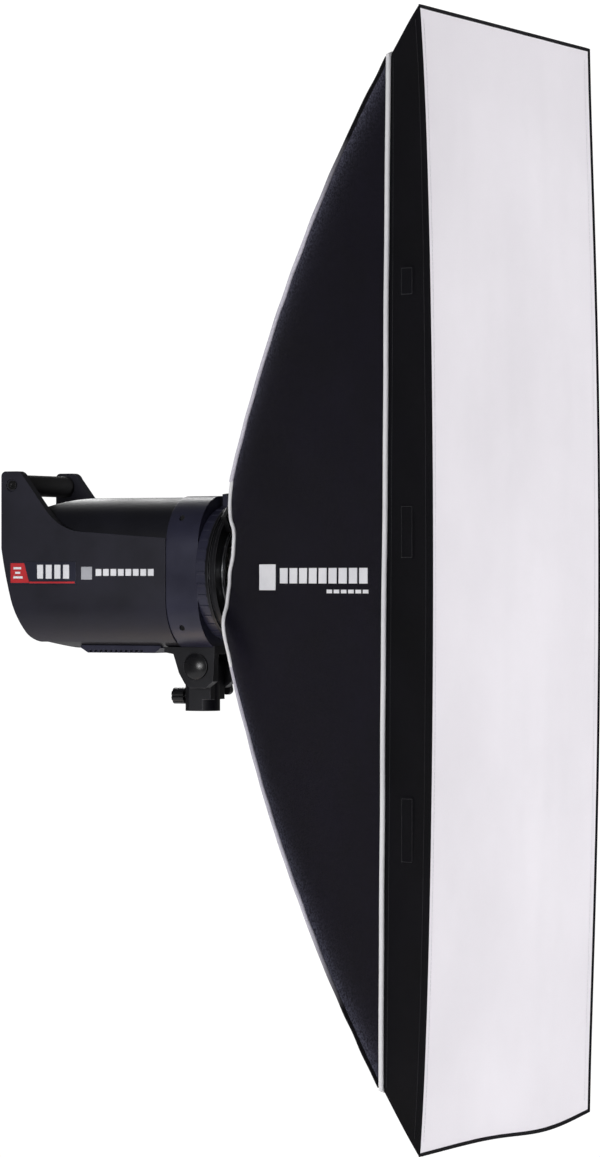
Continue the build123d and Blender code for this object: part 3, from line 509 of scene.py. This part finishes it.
NAVY_DARK, NAVY_LIGHT = srgb(3, 2, 8), srgb(24, 21, 36)
# The shell's pale band beside its seams is a painted highlight.
SHELL = woven("shell_weave", NAVY_DARK, NAVY_LIGHT, 0.0008, 0.00035, 0.85, 0.02,
              seam_highlight=srgb(96, 96, 114), contrast=0.7)
LINING = woven("silver_lining", srgb(168, 170, 174), srgb(214, 216, 220), 0.0010, 0.0004, 0.36, 0.0,
               metallic=0.75, blotch=30.0)
LIP = woven("lip_weave", srgb(6, 6, 9), srgb(16, 15, 21), 0.0007, 0.0003, 0.88, 0.02)
PIPE = woven("piping_cover", srgb(226, 225, 230), srgb(248, 248, 250), 0.0009, 0.0003, 0.7, 0.2)
# Painted shade: the corner piping turns navy towards its front ends, away from the head's axis.
CORNER_PIPE = painted_shade_away_from_axis(woven("corner_piping_cover", srgb(186, 183, 198), srgb(232, 229, 240), 0.0009,
                          0.0003, 0.75, 0.1, contrast=0.6), NAVY_DARK, 0.40, 0.50)
TAPE = woven("loop_tape", srgb(9, 9, 10), srgb(24, 24, 27), 0.0013, 0.0007, 0.95, 0.3, contrast=0.6)
PATCH = woven("patch_weave", srgb(7, 7, 10), srgb(18, 17, 23), 0.0011, 0.0005, 0.9, 0.02)
BINDING = woven("binding_weave", srgb(206, 206, 208), srgb(232, 232, 234), 0.0011, 0.0004, 0.75, 0.2)
WHITE = woven("diffuser_weave", srgb(228, 224, 230), srgb(237, 233, 239), 0.0005, 0.00012, 0.65, 0.15,
              contrast=0.25, blotch=4.0)
INNER_WHITE = woven("inner_weave", srgb(216, 216, 220), srgb(234, 234, 238), 0.0006, 0.00015, 0.7, 0.15)
THREAD = woven("black_thread", srgb(20, 20, 22), srgb(48, 48, 54), 0.0004, 0.0001, 0.55, 0.3)
PALE_THREAD = woven("white_thread", srgb(190, 190, 194), srgb(224, 224, 228), 0.0004, 0.0001, 0.55, 0.3)
PALE_INK = grained("pale_ink", srgb(222, 222, 228), srgb(244, 244, 248), 0.55, 0.05, 1500.0, 0.00003)
GREY_INK = grained("grey_ink", srgb(150, 151, 158), srgb(184, 185, 192), 0.55, 0.05, 1500.0, 0.00003)
RED_INK = grained("red_ink", srgb(172, 30, 38), srgb(206, 48, 54), 0.45, 0.05, 1500.0, 0.00003)


# ---- The softbox's cloth -----------------------------------------------------------------------


def neck_edge(t):
    """Rear edge of a side panel: its x, and how far the cloth stands off over the ring."""
    rear = NECK_X + 0.011 * np.exp(-(((t - 0.32) / 0.25) ** 2)) + 0.006 * np.abs(t) ** 8
    flare = 0.016 * np.exp(-(((t + 0.62) / 0.26) ** 2))
    return rear, flare


def side_skin(side, x, t):
    """Points of a side panel; t runs from the bottom seam (-1) to the top one (1)."""
    rear, flare = neck_edge(t)
    u = np.clip((x - rear) / (seam_x(t) - rear), 0, 1)
    z = AXIS_Z + t * half_height(x, t)
    inward = 1 - t**2
    hollow = 0.009 * np.sin(math.pi * u) ** 0.8 * inward**0.7
    pucker = 0.0012 * np.exp(-u / 0.10) * np.sin(23 * t + 1.3) * inward
    drift = 0.0011 * ripples(x, z, 11 + side) * inward * np.sin(math.pi * np.clip(u, 0.03, 0.97))
    y = wall(SIDE_ARC, x) + flare * np.exp(-(((x - rear) / 0.035) ** 2)) - hollow + pucker + drift
    return np.stack([x, side * y, z], axis=-1)


def end_skin(end, x, t):
    """Points of the top or bottom panel; t runs across it."""
    rear = end_rear(t)
    u = np.clip((x - rear) / (seam_x(end) - rear), 0, 1)
    inward = 1 - t**2
    hollow = 0.006 * np.sin(math.pi * u) ** 0.8 * inward**0.7
    pucker = 0.0010 * np.exp(-u / 0.07) * np.sin(19 * t + 0.4) * inward
    y = t * wall(SIDE_ARC, x)
    drift = 0.0010 * ripples(x, y, 21 + end) * inward * np.sin(math.pi * np.clip(u, 0.03, 0.97))
    z = AXIS_Z + end * (wall(END_ARCS[end], x) - hollow + pucker + drift)
    return np.stack([x, y, z], axis=-1)


def end_rear(t):
    """Rear edge of the top and bottom panels."""
    return NECK_X + 0.006 * np.abs(t) ** 4


def grid(cols, rows):
    """Two coordinates from 0 to 1 over a grid."""
    return np.meshgrid(np.linspace(0, 1, cols), np.linspace(0, 1, rows), indexing="ij")


def outward(points, direction):
    """The grid, turned so that its normals point along a direction."""
    middle = normals_of(points)[points.shape[0] // 2, points.shape[1] // 2]
    return points if np.dot(middle, direction) > 0 else points[:, ::-1]


def shell_panels():
    """Four sewn panels with a silver lining."""
    panels = []
    for side, node in ((1, "shell_left"), (-1, "shell_right")):
        u, v = grid(46, 150)
        t = 2 * v - 1
        rear, _ = neck_edge(t)
        points = outward(side_skin(side, rear + u * (seam_x(t) - rear), t), (0, side, 0))
        panels.append((node, [cloth_part(points, CLOTH)], (0.36, 1.20)))
    for end, node in ((1, "shell_top"), (-1, "shell_bottom")):
        u, v = grid(80, 70)
        t = 2 * v - 1
        rear = end_rear(t)
        points = outward(end_skin(end, rear + u * (seam_x(end) - rear), t), (0, 0, end))
        panels.append((node, [cloth_part(points, CLOTH)], (0.47, 0.62)))
    for node, parts, flat in panels:
        piece = mesh_piece(node + "_cloth", parts, [SHELL, LINING], "softbox", [node])


def lip_side(side, u, t):
    """Points of the lip on one long side."""
    start = seam_x(t)
    stop = front_x(FRONT_Z + t * HALF_HEIGHT)
    x = start + u * (stop - start)
    z = AXIS_Z + t * half_height(np.minimum(x, CORNER_X), t)
    y = wall(SIDE_ARC, x) - LIP_HOLLOW * np.sin(math.pi * u) * (1 - t**6) - u * front_pull(t)
    y = y + 0.0006 * ripples(x, z, 31 + side, low=14, high=90) * np.sin(math.pi * u)
    return np.stack([x, side * y, z], axis=-1)


def lip_end(end, u, t):
    """Points of the lip at the top or the bottom; the bottom one sags a little."""
    start, stop = seam_x(end), CORNER_X
    x = start + u * (stop - start)
    y = t * wall(SIDE_ARC, x)
    sag = (BOTTOM_SAG if end < 0 else 0.0) * u * np.exp(-(((t - 0.45) / 0.5) ** 2)) * (1 - t**8)
    z = wall(END_ARCS[end], x) + sag - 0.0012 * np.sin(math.pi * u) * (1 - t**6)
    z = z + 0.0006 * ripples(x, y, 41 + end, low=14, high=90) * np.sin(math.pi * u)
    return np.stack([x, y, AXIS_Z + end * z], axis=-1)


def lip_loop(u):
    """Closed line round the lip at one depth, from 0 at the seam to 1 at the front."""
    lines = []
    for skin, side, stop, count in ((lip_side, -1, 1, 150), (lip_end, 1, 1, 60),
                                    (lip_side, 1, -1, 150), (lip_end, -1, -1, 60)):
        t = np.linspace(-stop, stop, count, endpoint=False)
        lines.append(skin(side, np.full_like(t, u), t))
    return np.concatenate(lines)


def away_from_axis(line):
    """Unit directions from the head's axis to the points of a line."""
    away = line - np.array([0.0, 0.0, AXIS_Z])
    away[:, 0] = 0
    return away / np.linalg.norm(away, axis=1, keepdims=True)


def front_lip():
    """Black band that carries the front sheet, with its folded front edge and two stitch rows."""
    parts = []
    for side in (1, -1):
        u, v = grid(14, 170)
        parts.append(cloth_part(outward(lip_side(side, u, 2 * v - 1), (0, side, 0)), LIP_CLOTH, 0))
    for end in (1, -1):
        u, v = grid(14, 80)
        parts.append(cloth_part(outward(lip_end(end, u, 2 * v - 1), (0, 0, end)), LIP_CLOTH, 0))
    lip = mesh_piece("lip_band", parts, [LIP], "softbox", ["front_lip"])
    fold = lip_loop(1.0)
    fold = fold - 0.0006 * away_from_axis(fold)
    edge = mesh_piece("lip_fold", [tube_part(fold, 0.0009, 10, True)], [LIP], "softbox")
    rows = []
    t = np.linspace(-0.985, 0.985, 200)
    for side in (1, -1):
        for u in LIP_ROWS:
            rows += stitch_parts(lip_side(side, np.full_like(t, u), t), (-0.5, side * 0.87, 0))
    t = np.linspace(-0.97, 0.97, 80)
    for end in (1, -1):
        for u in LIP_ROWS:
            rows += stitch_parts(lip_end(end, np.full_like(t, u), t), (-0.8, 0, end * 0.6))
    seams = mesh_piece("lip_stitches", rows, [THREAD], "softbox")


def corner_piping():
    """Covered cord sewn into each corner seam."""
    parts = []
    out = 0.45 * CORNER_BEAD
    for side in (1, -1):
        for end in (1, -1):
            x = np.linspace(NECK_X + 0.004, seam_x(end) - 0.003, 90)
            y, z = wall(SIDE_ARC, x), wall(END_ARCS[end], x)
            wobble = 0.0004 * ripples(x, z, 51 + side + 3 * end, low=40, high=160)
            line = np.stack([x - out, side * (y + out + wobble),
                             AXIS_Z + end * (z + out + wobble)], axis=-1)
            thick = CORNER_BEAD * (1 + 0.06 * ripples(x, z, 61 + side, low=60, high=240))
            parts.append(tube_part(line, thick, 12))
    mesh_piece("corner_piping_cord", parts, [CORNER_PIPE], "softbox",
               ["corner_piping"])


def front_piping():
    """White covered cord round the seam between shell and lip."""
    loop = lip_loop(0.0)
    out = np.sign(away_from_axis(loop))
    on_end = np.abs(np.abs(loop[:, 1]) - wall(SIDE_ARC, loop[:, 0])) > 0.002
    out[on_end, 1] = 0
    out[~on_end, 2] = 0
    line = loop + 0.9 * PIPING * out - np.array([0.5 * PIPING, 0, 0])
    line[:, 0] += 0.0004 * ripples(line[:, 2], line[:, 1], 71, low=10, high=40)
    mesh_piece("front_piping_cord", [tube_part(line, PIPING, 12, True)], [PIPE], "softbox",
               ["front_piping"])


def neck_piping():
    """White bound edge of the opening that slips over the speed ring."""
    lines = []
    for way in (1, -1):
        t = way * np.linspace(-1, 1, 90)[:-1]
        lines.append(side_skin(-way, neck_edge(t)[0], t))
        lines.append(end_skin(way, end_rear(t), t))
    line = np.concatenate(lines) - np.array([0.0008, 0, 0])
    line = line + 0.0016 * away_from_axis(line)
    for _ in range(6):
        line = (np.roll(line, 1, axis=0) + 2 * line + np.roll(line, -1, axis=0)) / 4
    mesh_piece("neck_binding", [tube_part(line, NECK_BEAD, 12, True)], [PIPE], "softbox")


def patch_level(x, z):
    """Distance of the lip's long side from the head's axis at x and at a height from the axis."""
    t = z / HALF_HEIGHT
    u = (x - seam_x(t)) / (front_x(FRONT_Z + z) - seam_x(t))
    return wall(SIDE_ARC, x) - LIP_HOLLOW * np.sin(math.pi * u) - u * front_pull(t)


def fastener_patches():
    """Patches sewn on the long sides of the lip, each with a stitched border."""
    parts = []
    inset = 0.0022
    for side in (1, -1):
        for height, length in ((0.330, 0.034), (0.046, 0.062), (-0.292, 0.076)):
            u, v = grid(12, 24)
            z = height + (v - 0.5) * length
            x = PATCH_X + u * PATCH_WIDTH
            corner = 0.0015 * (np.abs(2 * u - 1) ** 10) * (np.abs(2 * v - 1) ** 10)
            y = patch_level(x, z) + 0.0009 - corner + 0.0002 * ripples(x, z, 81, low=90, high=300)
            points = outward(np.stack([x, side * y, AXIS_Z + z], axis=-1), (0, side, 0))
            parts.append(cloth_part(points, 0.0009, 0))
            xs = np.array([PATCH_X + inset, PATCH_X + PATCH_WIDTH - inset])
            ys = side * (patch_level(xs, np.full(2, height)) + 0.0011)
            low, high = AXIS_Z + height - length / 2 + inset, AXIS_Z + height + length / 2 - inset
            border = [(xs[0], ys[0], low), (xs[1], ys[1], low), (xs[1], ys[1], high),
                      (xs[0], ys[0], high), (xs[0], ys[0], low)]
            for a, b in zip(border[:-1], border[1:]):
                parts += stitch_parts([a, b], (-0.5, side * 0.87, 0), 0.003, 0.0003, 1)
    mesh_piece("lip_patches", parts, [PATCH, THREAD], "softbox",
               ["fastener_patches"])


def outer_diffuser():
    """White front sheet, pulled flat with faint upright wrinkles, and its hem stitching."""
    inset = LIP_CLOTH + 0.0004
    u, v = grid(70, 170)
    t = 2 * v - 1
    x = front_x(FRONT_Z + t * (HALF_HEIGHT - inset)) - SHEET_BACK
    s = 2 * u - 1
    y = s * (wall(SIDE_ARC, x) - front_pull(t) - inset)
    droop = np.exp(-(((s - 0.45) / 0.5) ** 2)) * (1 - s**8)
    sag = np.where(t < 0, BOTTOM_SAG * np.abs(t) ** 24 * droop, 0)
    z = AXIS_Z + t * (half_height(CORNER_X, t) - inset) - sag
    rim = (1 - s**6) * (1 - t**10)
    wrinkles = 0.0009 * ripples(y, 0.12 * z, 91, low=25, high=120) * rim
    loose = 0.0022 * np.exp(-((1 - np.abs(t)) / 0.05)) * np.sin(34 * y + 2 * np.sign(t)) * rim
    points = np.stack([x - 0.0012 * rim + wrinkles - np.abs(loose) * 0.6, y, z], axis=-1)
    sheet = mesh_piece("front_sheet", [cloth_part(outward(points, (1, 0, 0)), SHEET, 0)], [WHITE],
                       "front_diffuser", ["outer_diffuser"])
    rows = []
    t = np.linspace(-0.98, 0.98, 120)
    x = front_x(FRONT_Z + t * HALF_HEIGHT) - SHEET_BACK
    z = AXIS_Z + t * (half_height(CORNER_X, t) - inset)
    for at in (0.955, -0.955):
        y = at * (wall(SIDE_ARC, x) - front_pull(t) - inset)
        rows += stitch_parts(np.stack([x, y, z], axis=-1), (1, 0, 0), 0.005, 0.0002)
    stitches = mesh_piece("front_sheet_stitches", rows, [PALE_THREAD], "front_diffuser")


def diffuser_border():
    """Loop tapes behind the front sheet's edge."""
    parts = []
    gap, thick, deep, behind = 0.0024, 0.0014, 0.020, 0.0034
    for side in (1, -1):
        u, v = grid(8, 120)
        t = (2 * v - 1) * 0.922
        stop = front_x(FRONT_Z + t * HALF_HEIGHT) - behind
        x = stop - deep * (1 - u)
        y = side * (wall(SIDE_ARC, x) - front_pull(t) - gap)
        points = np.stack([x, y, FRONT_Z + t * HALF_HEIGHT], axis=-1)
        parts.append(cloth_part(outward(points, (0, side, 0)), thick, 0))
    for end in (1, -1):
        u, v = grid(8, 50)
        t = (2 * v - 1) * 0.80
        stop = front_x(FRONT_Z + end * (HALF_HEIGHT - gap)) - behind
        x = stop - deep * (1 - u)
        z = AXIS_Z + end * (wall(END_ARCS[end], x) - gap)
        points = np.stack([x, t * HALF_WIDTH, z], axis=-1)
        parts.append(cloth_part(outward(points, (0, 0, end)), thick, 0))
    mesh_piece("front_sheet_tape", parts, [TAPE], "front_diffuser",
               ["diffuser_border"])


def binding_parts():
    """Four tapes sewn on the inner sheet's edges."""
    parts = []
    face, wide = INNER_X + SHEET + 0.0015, 0.012
    half_y, half_z = INNER_HALF
    u, v = grid(5, 90)
    along, crown = 2 * v - 1, 0.0002 * np.sin(math.pi * u)
    for upright, side in ((True, 1), (True, -1), (False, 1), (False, -1)):
        if upright:
            y = side * (half_y - wide * u)
            z = INNER_Z + along * half_z
        else:
            z = INNER_Z + side * (half_z - wide * u)
            y = along * half_y
        points = outward(np.stack([face + crown, y, z], axis=-1), (1, 0, 0))
        parts.append(cloth_part(points, 0.0013, 0))
    return parts


def tie_parts():
    """Elastic ties from the inner sheet's corners to the rods."""
    parts = []
    reach = 0.002
    wall_x = INNER_X - 0.0065 + reach
    for side in (1, -1):
        for end in (1, -1):
            start = np.array([INNER_X + SHEET + 0.0007, side * 0.147, INNER_Z + end * 0.388])
            rod = np.array([INNER_X + reach, side * (wall(SIDE_ARC, wall_x) - 0.0055),
                            AXIS_Z + end * (wall(END_ARCS[end], wall_x) - 0.005)])
            way = rod - start
            stop = start + way * (1 - 0.006 / np.linalg.norm(way))
            line = [start + f * (stop - start) for f in np.linspace(0, 1, 14)]
            parts.append(tube_part(line, 0.0008, 8))
    return parts


def inner_diffuser():
    """Inner sheet with its sewn binding, held by elastic ties."""
    u, v = grid(44, 100)
    y = (2 * u - 1) * INNER_HALF[0]
    z = INNER_Z + (2 * v - 1) * INNER_HALF[1]
    rim = (1 - (2 * u - 1) ** 8) * (1 - (2 * v - 1) ** 8)
    x = INNER_X + SHEET - 0.0022 * np.abs(ripples(y, z, 101, low=8, high=34)) * rim
    points = outward(np.stack([x, y, z], axis=-1), (1, 0, 0))
    sheet = mesh_piece("inner_sheet", [cloth_part(points, SHEET, 0)], [INNER_WHITE], "softbox",
                       ["inner_diffuser"])
    binding = mesh_piece("inner_sheet_binding", binding_parts() + tie_parts(), [BINDING], "softbox",
                         ["inner_binding"])


def shell_mark():
    """Plain printed mark on each long side: a block and two rows of bars, in pale ink."""
    parts = []
    for side in (1, -1):
        bars = [(0.1260, 0.1560, 0.010, -0.0205)]
        bars += [(0.1640 + 0.0178 * k, 0.1782 + 0.0178 * k, 0.0055, -0.0125) for k in range(9)]
        bars += [(0.2500 + 0.0125 * k, 0.2595 + 0.0125 * k, -0.0195, -0.0238) for k in range(6)]
        for low, high, top, bottom in bars:
            u, v = grid(6, 8)
            x = low + u * (high - low)
            z = bottom + v * (top - bottom)
            t = z / half_height(x, z)
            skin = side_skin(side, x, t) + np.array([0, side * 0.0005, 0])
            parts.append(cloth_part(outward(skin, (0, side, 0)), 0.0004, 0))
    mesh_piece("shell_print", parts, [PALE_INK], "softbox")


# ---- Marks on the flash head -------------------------------------------------------------------


def side_plate(side, corners, kind, lift=0.0):
    """Thin printed plate on a side cover; corners are x and height above the axis, in mm."""
    outline = [(x / 1000, side * (COVER_Y + lift), AXIS_Z + z / 1000) for x, z in corners]
    return slab_part(outline, (0, side, 0), kind)


def bar(low, high, bottom, top):
    """Corners of an upright rectangle."""
    return [(low, bottom), (high, bottom), (high, top), (low, top)]


def head_marks():
    """Generic badge print and marks on both side covers."""
    parts = []
    for side in (1, -1):
        parts.append(side_plate(side, [(-225, -12), (-199, -12), (-206, 12), (-225, 12)], 1))
        parts.append(side_plate(side, bar(-199, -136, -12.6, -10.4), 1))
        for k in range(4):
            low = -188 + 12.0 * k
            parts.append(side_plate(side, bar(low, low + 8.4, -7.0, 10.0), 0))
        for k, wide in enumerate((11.0, 7.0, 13.0)):
            low = -221 + 2.5 * (k % 2)
            parts.append(side_plate(side, bar(low, low + wide, 4.5 - 5.6 * k, 7.2 - 5.6 * k), 0, 0.0001))
        parts.append(side_plate(side, bar(-127, -112, -8.0, 7.5), 2))
        for k in range(8):
            low = -107 + 10.2 * k
            parts.append(side_plate(side, bar(low, low + 7.8, -3.5, 4.8), 0))
    mesh_piece("cover_print", parts, [PALE_INK, RED_INK, GREY_INK], "flash_head")


def rear_plate(y_low, y_high, z_low, z_high, x=PANEL_FACE_X):
    """Thin plate on the rear panel; y, and height above the axis, in mm."""
    corners = [(y_low, z_low), (y_high, z_low), (y_high, z_high), (y_low, z_high)]
    outline = [(x, y / 1000, AXIS_Z + z / 1000) for y, z in corners]
    return slab_part(outline, (-1, 0, 0))


DIAL_Y, DIAL_Z, SCALE_RADIUS = -34, 1, 18.2   # millimetres; z above the axis
SEGMENTS = {"0": "abcdef", "5": "afgcd", "6": "afgcde"}


def digit(figure, y, z, height):
    """Seven-segment figure on the display, seen from behind the head."""
    w, h, s = height * 0.52, height, height * 0.11
    places = {"a": (0, w, h - s, h), "g": (0, w, (h - s) / 2, (h + s) / 2), "d": (0, w, 0, s),
              "f": (0, s, h / 2, h), "e": (0, s, 0, h / 2), "b": (w - s, w, h / 2, h),
              "c": (w - s, w, 0, h / 2)}
    parts = []
    for letter in SEGMENTS[figure]:
        a, b, low, high = places[letter]
        parts.append(rear_plate(y - b, y - a, z + low + 0.25, z + high - 0.25, DISPLAY_FACE_X))
    return parts


def rear_marks():
    """Scale round the dial, key labels and the lit figures of the display."""
    scale = []
    for k in range(11):
        angle = math.radians(-60 + 30 * k)
        ca, sa = math.cos(angle), math.sin(angle)
        y, z = DIAL_Y + SCALE_RADIUS * ca, DIAL_Z + SCALE_RADIUS * sa
        long = 1.5 if k % 5 == 0 else 0.9
        corners = [(-long, -0.25), (long, -0.25), (long, 0.25), (-long, 0.25)]
        outline = [(PANEL_FACE_X, (y + a * ca - b * sa) / 1000, AXIS_Z + (z + a * sa + b * ca) / 1000)
                   for a, b in corners]
        scale.append(slab_part(outline, (-1, 0, 0)))
    for y in (12, 36):
        for z in (9, -6):
            scale.append(rear_plate(y - 4, y + 4, z + 5.2, z + 5.9))
    scale.append(rear_plate(-9, 1, -43.2, -42.5))
    scale.append(rear_plate(14, 26, -40.8, -40.2))
    scale.append(rear_plate(35, 45, -38.6, -38.0))
    mesh_piece("panel_scale", scale, [PALE_INK], "flash_head")
    figures = digit("5", 22, 27.5, 13) + digit("6", 10, 27.5, 13)
    figures.append(rear_plate(11.6, 13.2, 27.7, 29.2, DISPLAY_FACE_X))
    figures += digit("0", -14, 27.5, 7) + digit("5", -20, 27.5, 7)
    mesh_piece("display_figures", figures, [lit("amber_segments", (1.0, 0.42, 0.05, 1), 2.2)],
               "flash_head")


# ---- Finishes of the CAD nodes -----------------------------------------------------------------


def finish(name, dark, light, rough, spread, grain, microns, edge=None, **more):
    """Grained material; colours in steps of 255 and the grain's depth in micrometres."""
    worn = srgb(*edge) if edge else None
    return grained(name, srgb(*dark), srgb(*light), rough, spread, grain, microns * 1e-6, edge=worn,
                   **more)


def finishes():
    """Material of each slot that CAD nodes keep showing."""
    worn = (52, 53, 66)
    return {
        "ring_metal": finish("ring_anodised", (24, 24, 27), (36, 36, 40), 0.36, 0.06, 1200, 40,
                             (150, 150, 154), metallic=0.7, stretch=(6, 1, 1)),
        "plated_steel": finish("plated_steel_brushed", (150, 151, 155), (196, 197, 200), 0.24, 0.06,
                               1500, 30, (224, 224, 226), metallic=1.0, stretch=(1, 1, 8)),
        "black_steel": finish("black_oxide", (13, 13, 14), (26, 26, 28), 0.36, 0.07, 1200, 40,
                              (92, 92, 96), metallic=0.6),
        "black_rubber": finish("soft_rubber", (14, 14, 15), (26, 26, 27), 0.78, 0.08, 700, 120),
        # The housing is set darker than the covers: partly its own charcoal, partly painted shade for
        # its dim upper facets.
        "housing_plastic": finish("housing_moulded", (11, 11, 18), (19, 19, 28), 0.42, 0.06, 1600, 50,
                                  worn),
        "cover_plastic": finish("cover_moulded", (18, 17, 28), (25, 24, 39), 0.46, 0.06, 1600, 60, worn),
        "badge_print": finish("badge_film", (28, 29, 42), (36, 37, 53), 0.34, 0.05, 1800, 20, coat=0.3),
        "grip_rubber": finish("grip_ribbed", (21, 20, 22), (35, 33, 36), 0.62, 0.08, 800, 180),
        "collar_plastic": finish("collar_moulded", (32, 32, 47), (42, 42, 60), 0.36, 0.06, 1600, 40,
                                 worn),
        "mount_metal": finish("mount_painted", (19, 19, 22), (30, 30, 34), 0.34, 0.06, 1300, 40,
                              (118, 118, 122), metallic=0.4),
        "pan_metal": finish("pan_bright", (186, 186, 188), (216, 216, 218), 0.22, 0.05, 900, 30,
                            metallic=1.0, stretch=(1, 5, 5)),
        "lamp_ceramic": finish("ceramic_glazed", (206, 202, 192), (228, 225, 216), 0.42, 0.08, 500, 50),
        "tube_glass": clear_glass("quartz_tube", (0.93, 0.90, 0.80, 1), 0.05, 0.15),
        "lamp_glass": clear_glass("lamp_envelope", (0.96, 0.95, 0.92, 1), 0.03),
        "clear_glass": clear_glass("dome_frosted", (0.92, 0.93, 0.95, 1), 0.18, 0.3),
        "panel_plastic": finish("panel_matt", (21, 22, 26), (31, 32, 38), 0.55, 0.05, 2000, 50, worn),
        "display_window": finish("display_acrylic", (8, 8, 10), (15, 14, 16), 0.08, 0.03, 2000, 10,
                                 coat=0.8),
        "hard_black_plastic": finish("hard_plastic", (15, 15, 17), (26, 26, 29), 0.30, 0.07, 1200, 60,
                                     (66, 66, 72)),
        "rocker_plastic": finish("rocker_gloss", (18, 18, 19), (29, 29, 31), 0.2, 0.05, 1200, 30,
                                 (70, 70, 74)),
        "circuit_board": circuit("circuit_laminate"),
        "chassis_steel": finish("chassis_zinc", (150, 152, 156), (188, 190, 194), 0.34, 0.09, 300, 50,
                                metallic=1.0),
        "capacitor_sleeve": finish("capacitor_film", (22, 30, 66), (34, 44, 86), 0.26, 0.05, 900, 30,
                                   coat=0.4),
        "button_rubber": finish("button_silicone", (58, 58, 62), (78, 78, 83), 0.6, 0.06, 1100, 50,
                                (120, 120, 124)),
        "bracket_metal": finish("bracket_powder_coat", (11, 11, 16), (18, 18, 25), 0.44, 0.07, 1100, 100,
                                (112, 112, 118), metallic=0.35),
        "fibre_disc": finish("fibre_pressed", (96, 62, 42), (132, 92, 64), 0.85, 0.06, 600, 150),
        "shoe_brass": finish("brass_turned", (176, 140, 74), (206, 172, 102), 0.3, 0.07, 1000, 40,
                             metallic=1.0, stretch=(1, 1, 7)),
    }


def dress_nodes(replaced):
    """Give every CAD node that stays visible the finish of its slot."""
    by_slot = finishes()
    for part in frame["record"]["subparts"]:
        if part["node"] not in replaced:
            nodes[part["node"]].data.materials[0] = by_slot[part["material_slot"]]


# CAD nodes whose place the cloth pieces take
CLOTH_NODES = ("shell_top", "shell_bottom", "shell_left", "shell_right", "front_lip", "corner_piping",
               "front_piping", "fastener_patches", "outer_diffuser", "diffuser_border",
               "inner_diffuser", "inner_binding")


# ---- Stage: floor, lights, camera --------------------------------------------------------------


def floor():
    """Plain pale floor, as far below the box as a stand would hold it up."""
    material = grained("floor_pale", (0.84, 0.84, 0.85, 1), (0.88, 0.88, 0.89, 1), 0.9, 0.03, 60.0, 0.0)
    plug(principled(material), {"Emission Color": (1, 1, 1, 1), "Emission Strength": 0.3})
    mesh = bpy.data.meshes.new("floor")
    reach, level, corners = 2.4, -1.05, 96
    rim = [(reach * math.cos(k * math.tau / corners), reach * math.sin(k * math.tau / corners), level)
           for k in range(corners)]
    mesh.from_pydata(rim, [], [tuple(range(corners))])
    mesh.materials.append(material)
    ground = bpy.data.objects.new("floor", mesh)
    bpy.context.scene.collection.objects.link(ground)


def area_light(name, place, target, size, power, colour=(1, 1, 1)):
    """Soft lamp of a width and a height that faces a point."""
    lamp = bpy.data.lights.new(name, "AREA")
    lamp.shape, lamp.size, lamp.size_y = "RECTANGLE", size[0], size[1]
    lamp.energy, lamp.color = power, colour
    lamp_object = bpy.data.objects.new(name, lamp)
    lamp_object.location = place
    direction = np.array(target) - np.array(place)
    lamp_object.rotation_euler = Vector(direction).to_track_quat("-Z", "Y").to_euler()
    bpy.context.scene.collection.objects.link(lamp_object)


def lights():
    """Surroundings that look white but light faintly, three large lamps and a small warm one."""
    world = bpy.data.worlds.new("studio")
    world.use_nodes = True
    tree = world.node_tree
    tree.nodes.clear()
    white = (1, 1, 1, 1)
    seen = add(tree, "ShaderNodeBackground", {"Color": white, "Strength": 1.05})
    lighting = add(tree, "ShaderNodeBackground", {"Color": white, "Strength": 0.11})
    path = tree.nodes.new("ShaderNodeLightPath")
    mix = tree.nodes.new("ShaderNodeMixShader")
    output = tree.nodes.new("ShaderNodeOutputWorld")
    tree.links.new(path.outputs["Is Camera Ray"], mix.inputs["Fac"])
    tree.links.new(lighting.outputs[0], mix.inputs[1])
    tree.links.new(seen.outputs[0], mix.inputs[2])
    tree.links.new(mix.outputs[0], output.inputs["Surface"])
    bpy.context.scene.world = world
    area_light("key", (0.3, -4.6, 0.3), (0.0, 0.0, 0.15), (1.4, 1.4), 118)
    area_light("front_right", (4.4, 1.0, 0.9), (0.4, 0.0, 0.1), (2.4, 2.4), 156)
    area_light("back_left", (-3.0, 3.0, 2.4), (0.0, 0.0, 0.1), (2.0, 2.0), 100)
    area_light("warm_low", (-0.25, -0.15, -0.9), (-0.1, 0.0, 0.1), (0.5, 0.3), 1.6, (1.0, 0.74, 0.52))


def camera():
    """Camera level with the head, ahead of it and to its right."""
    lens = bpy.data.cameras.new("camera")
    lens.lens, lens.sensor_width = 146.44, 36.0
    lens.clip_end = 200
    view = bpy.data.objects.new("camera", lens)
    view.location = (2.6127, -5.0764, 0.1603)
    view.rotation_euler = (math.radians(90), 0, math.radians(26.051))
    bpy.context.scene.collection.objects.link(view)
    bpy.context.scene.camera = view
    bpy.context.scene.view_settings.view_transform = "Standard"


camera()
lights()
floor()
shell_panels()
front_lip()
corner_piping()
front_piping()
neck_piping()
fastener_patches()
outer_diffuser()
diffuser_border()
inner_diffuser()
shell_mark()
head_marks()
rear_marks()
dress_nodes(CLOTH_NODES)
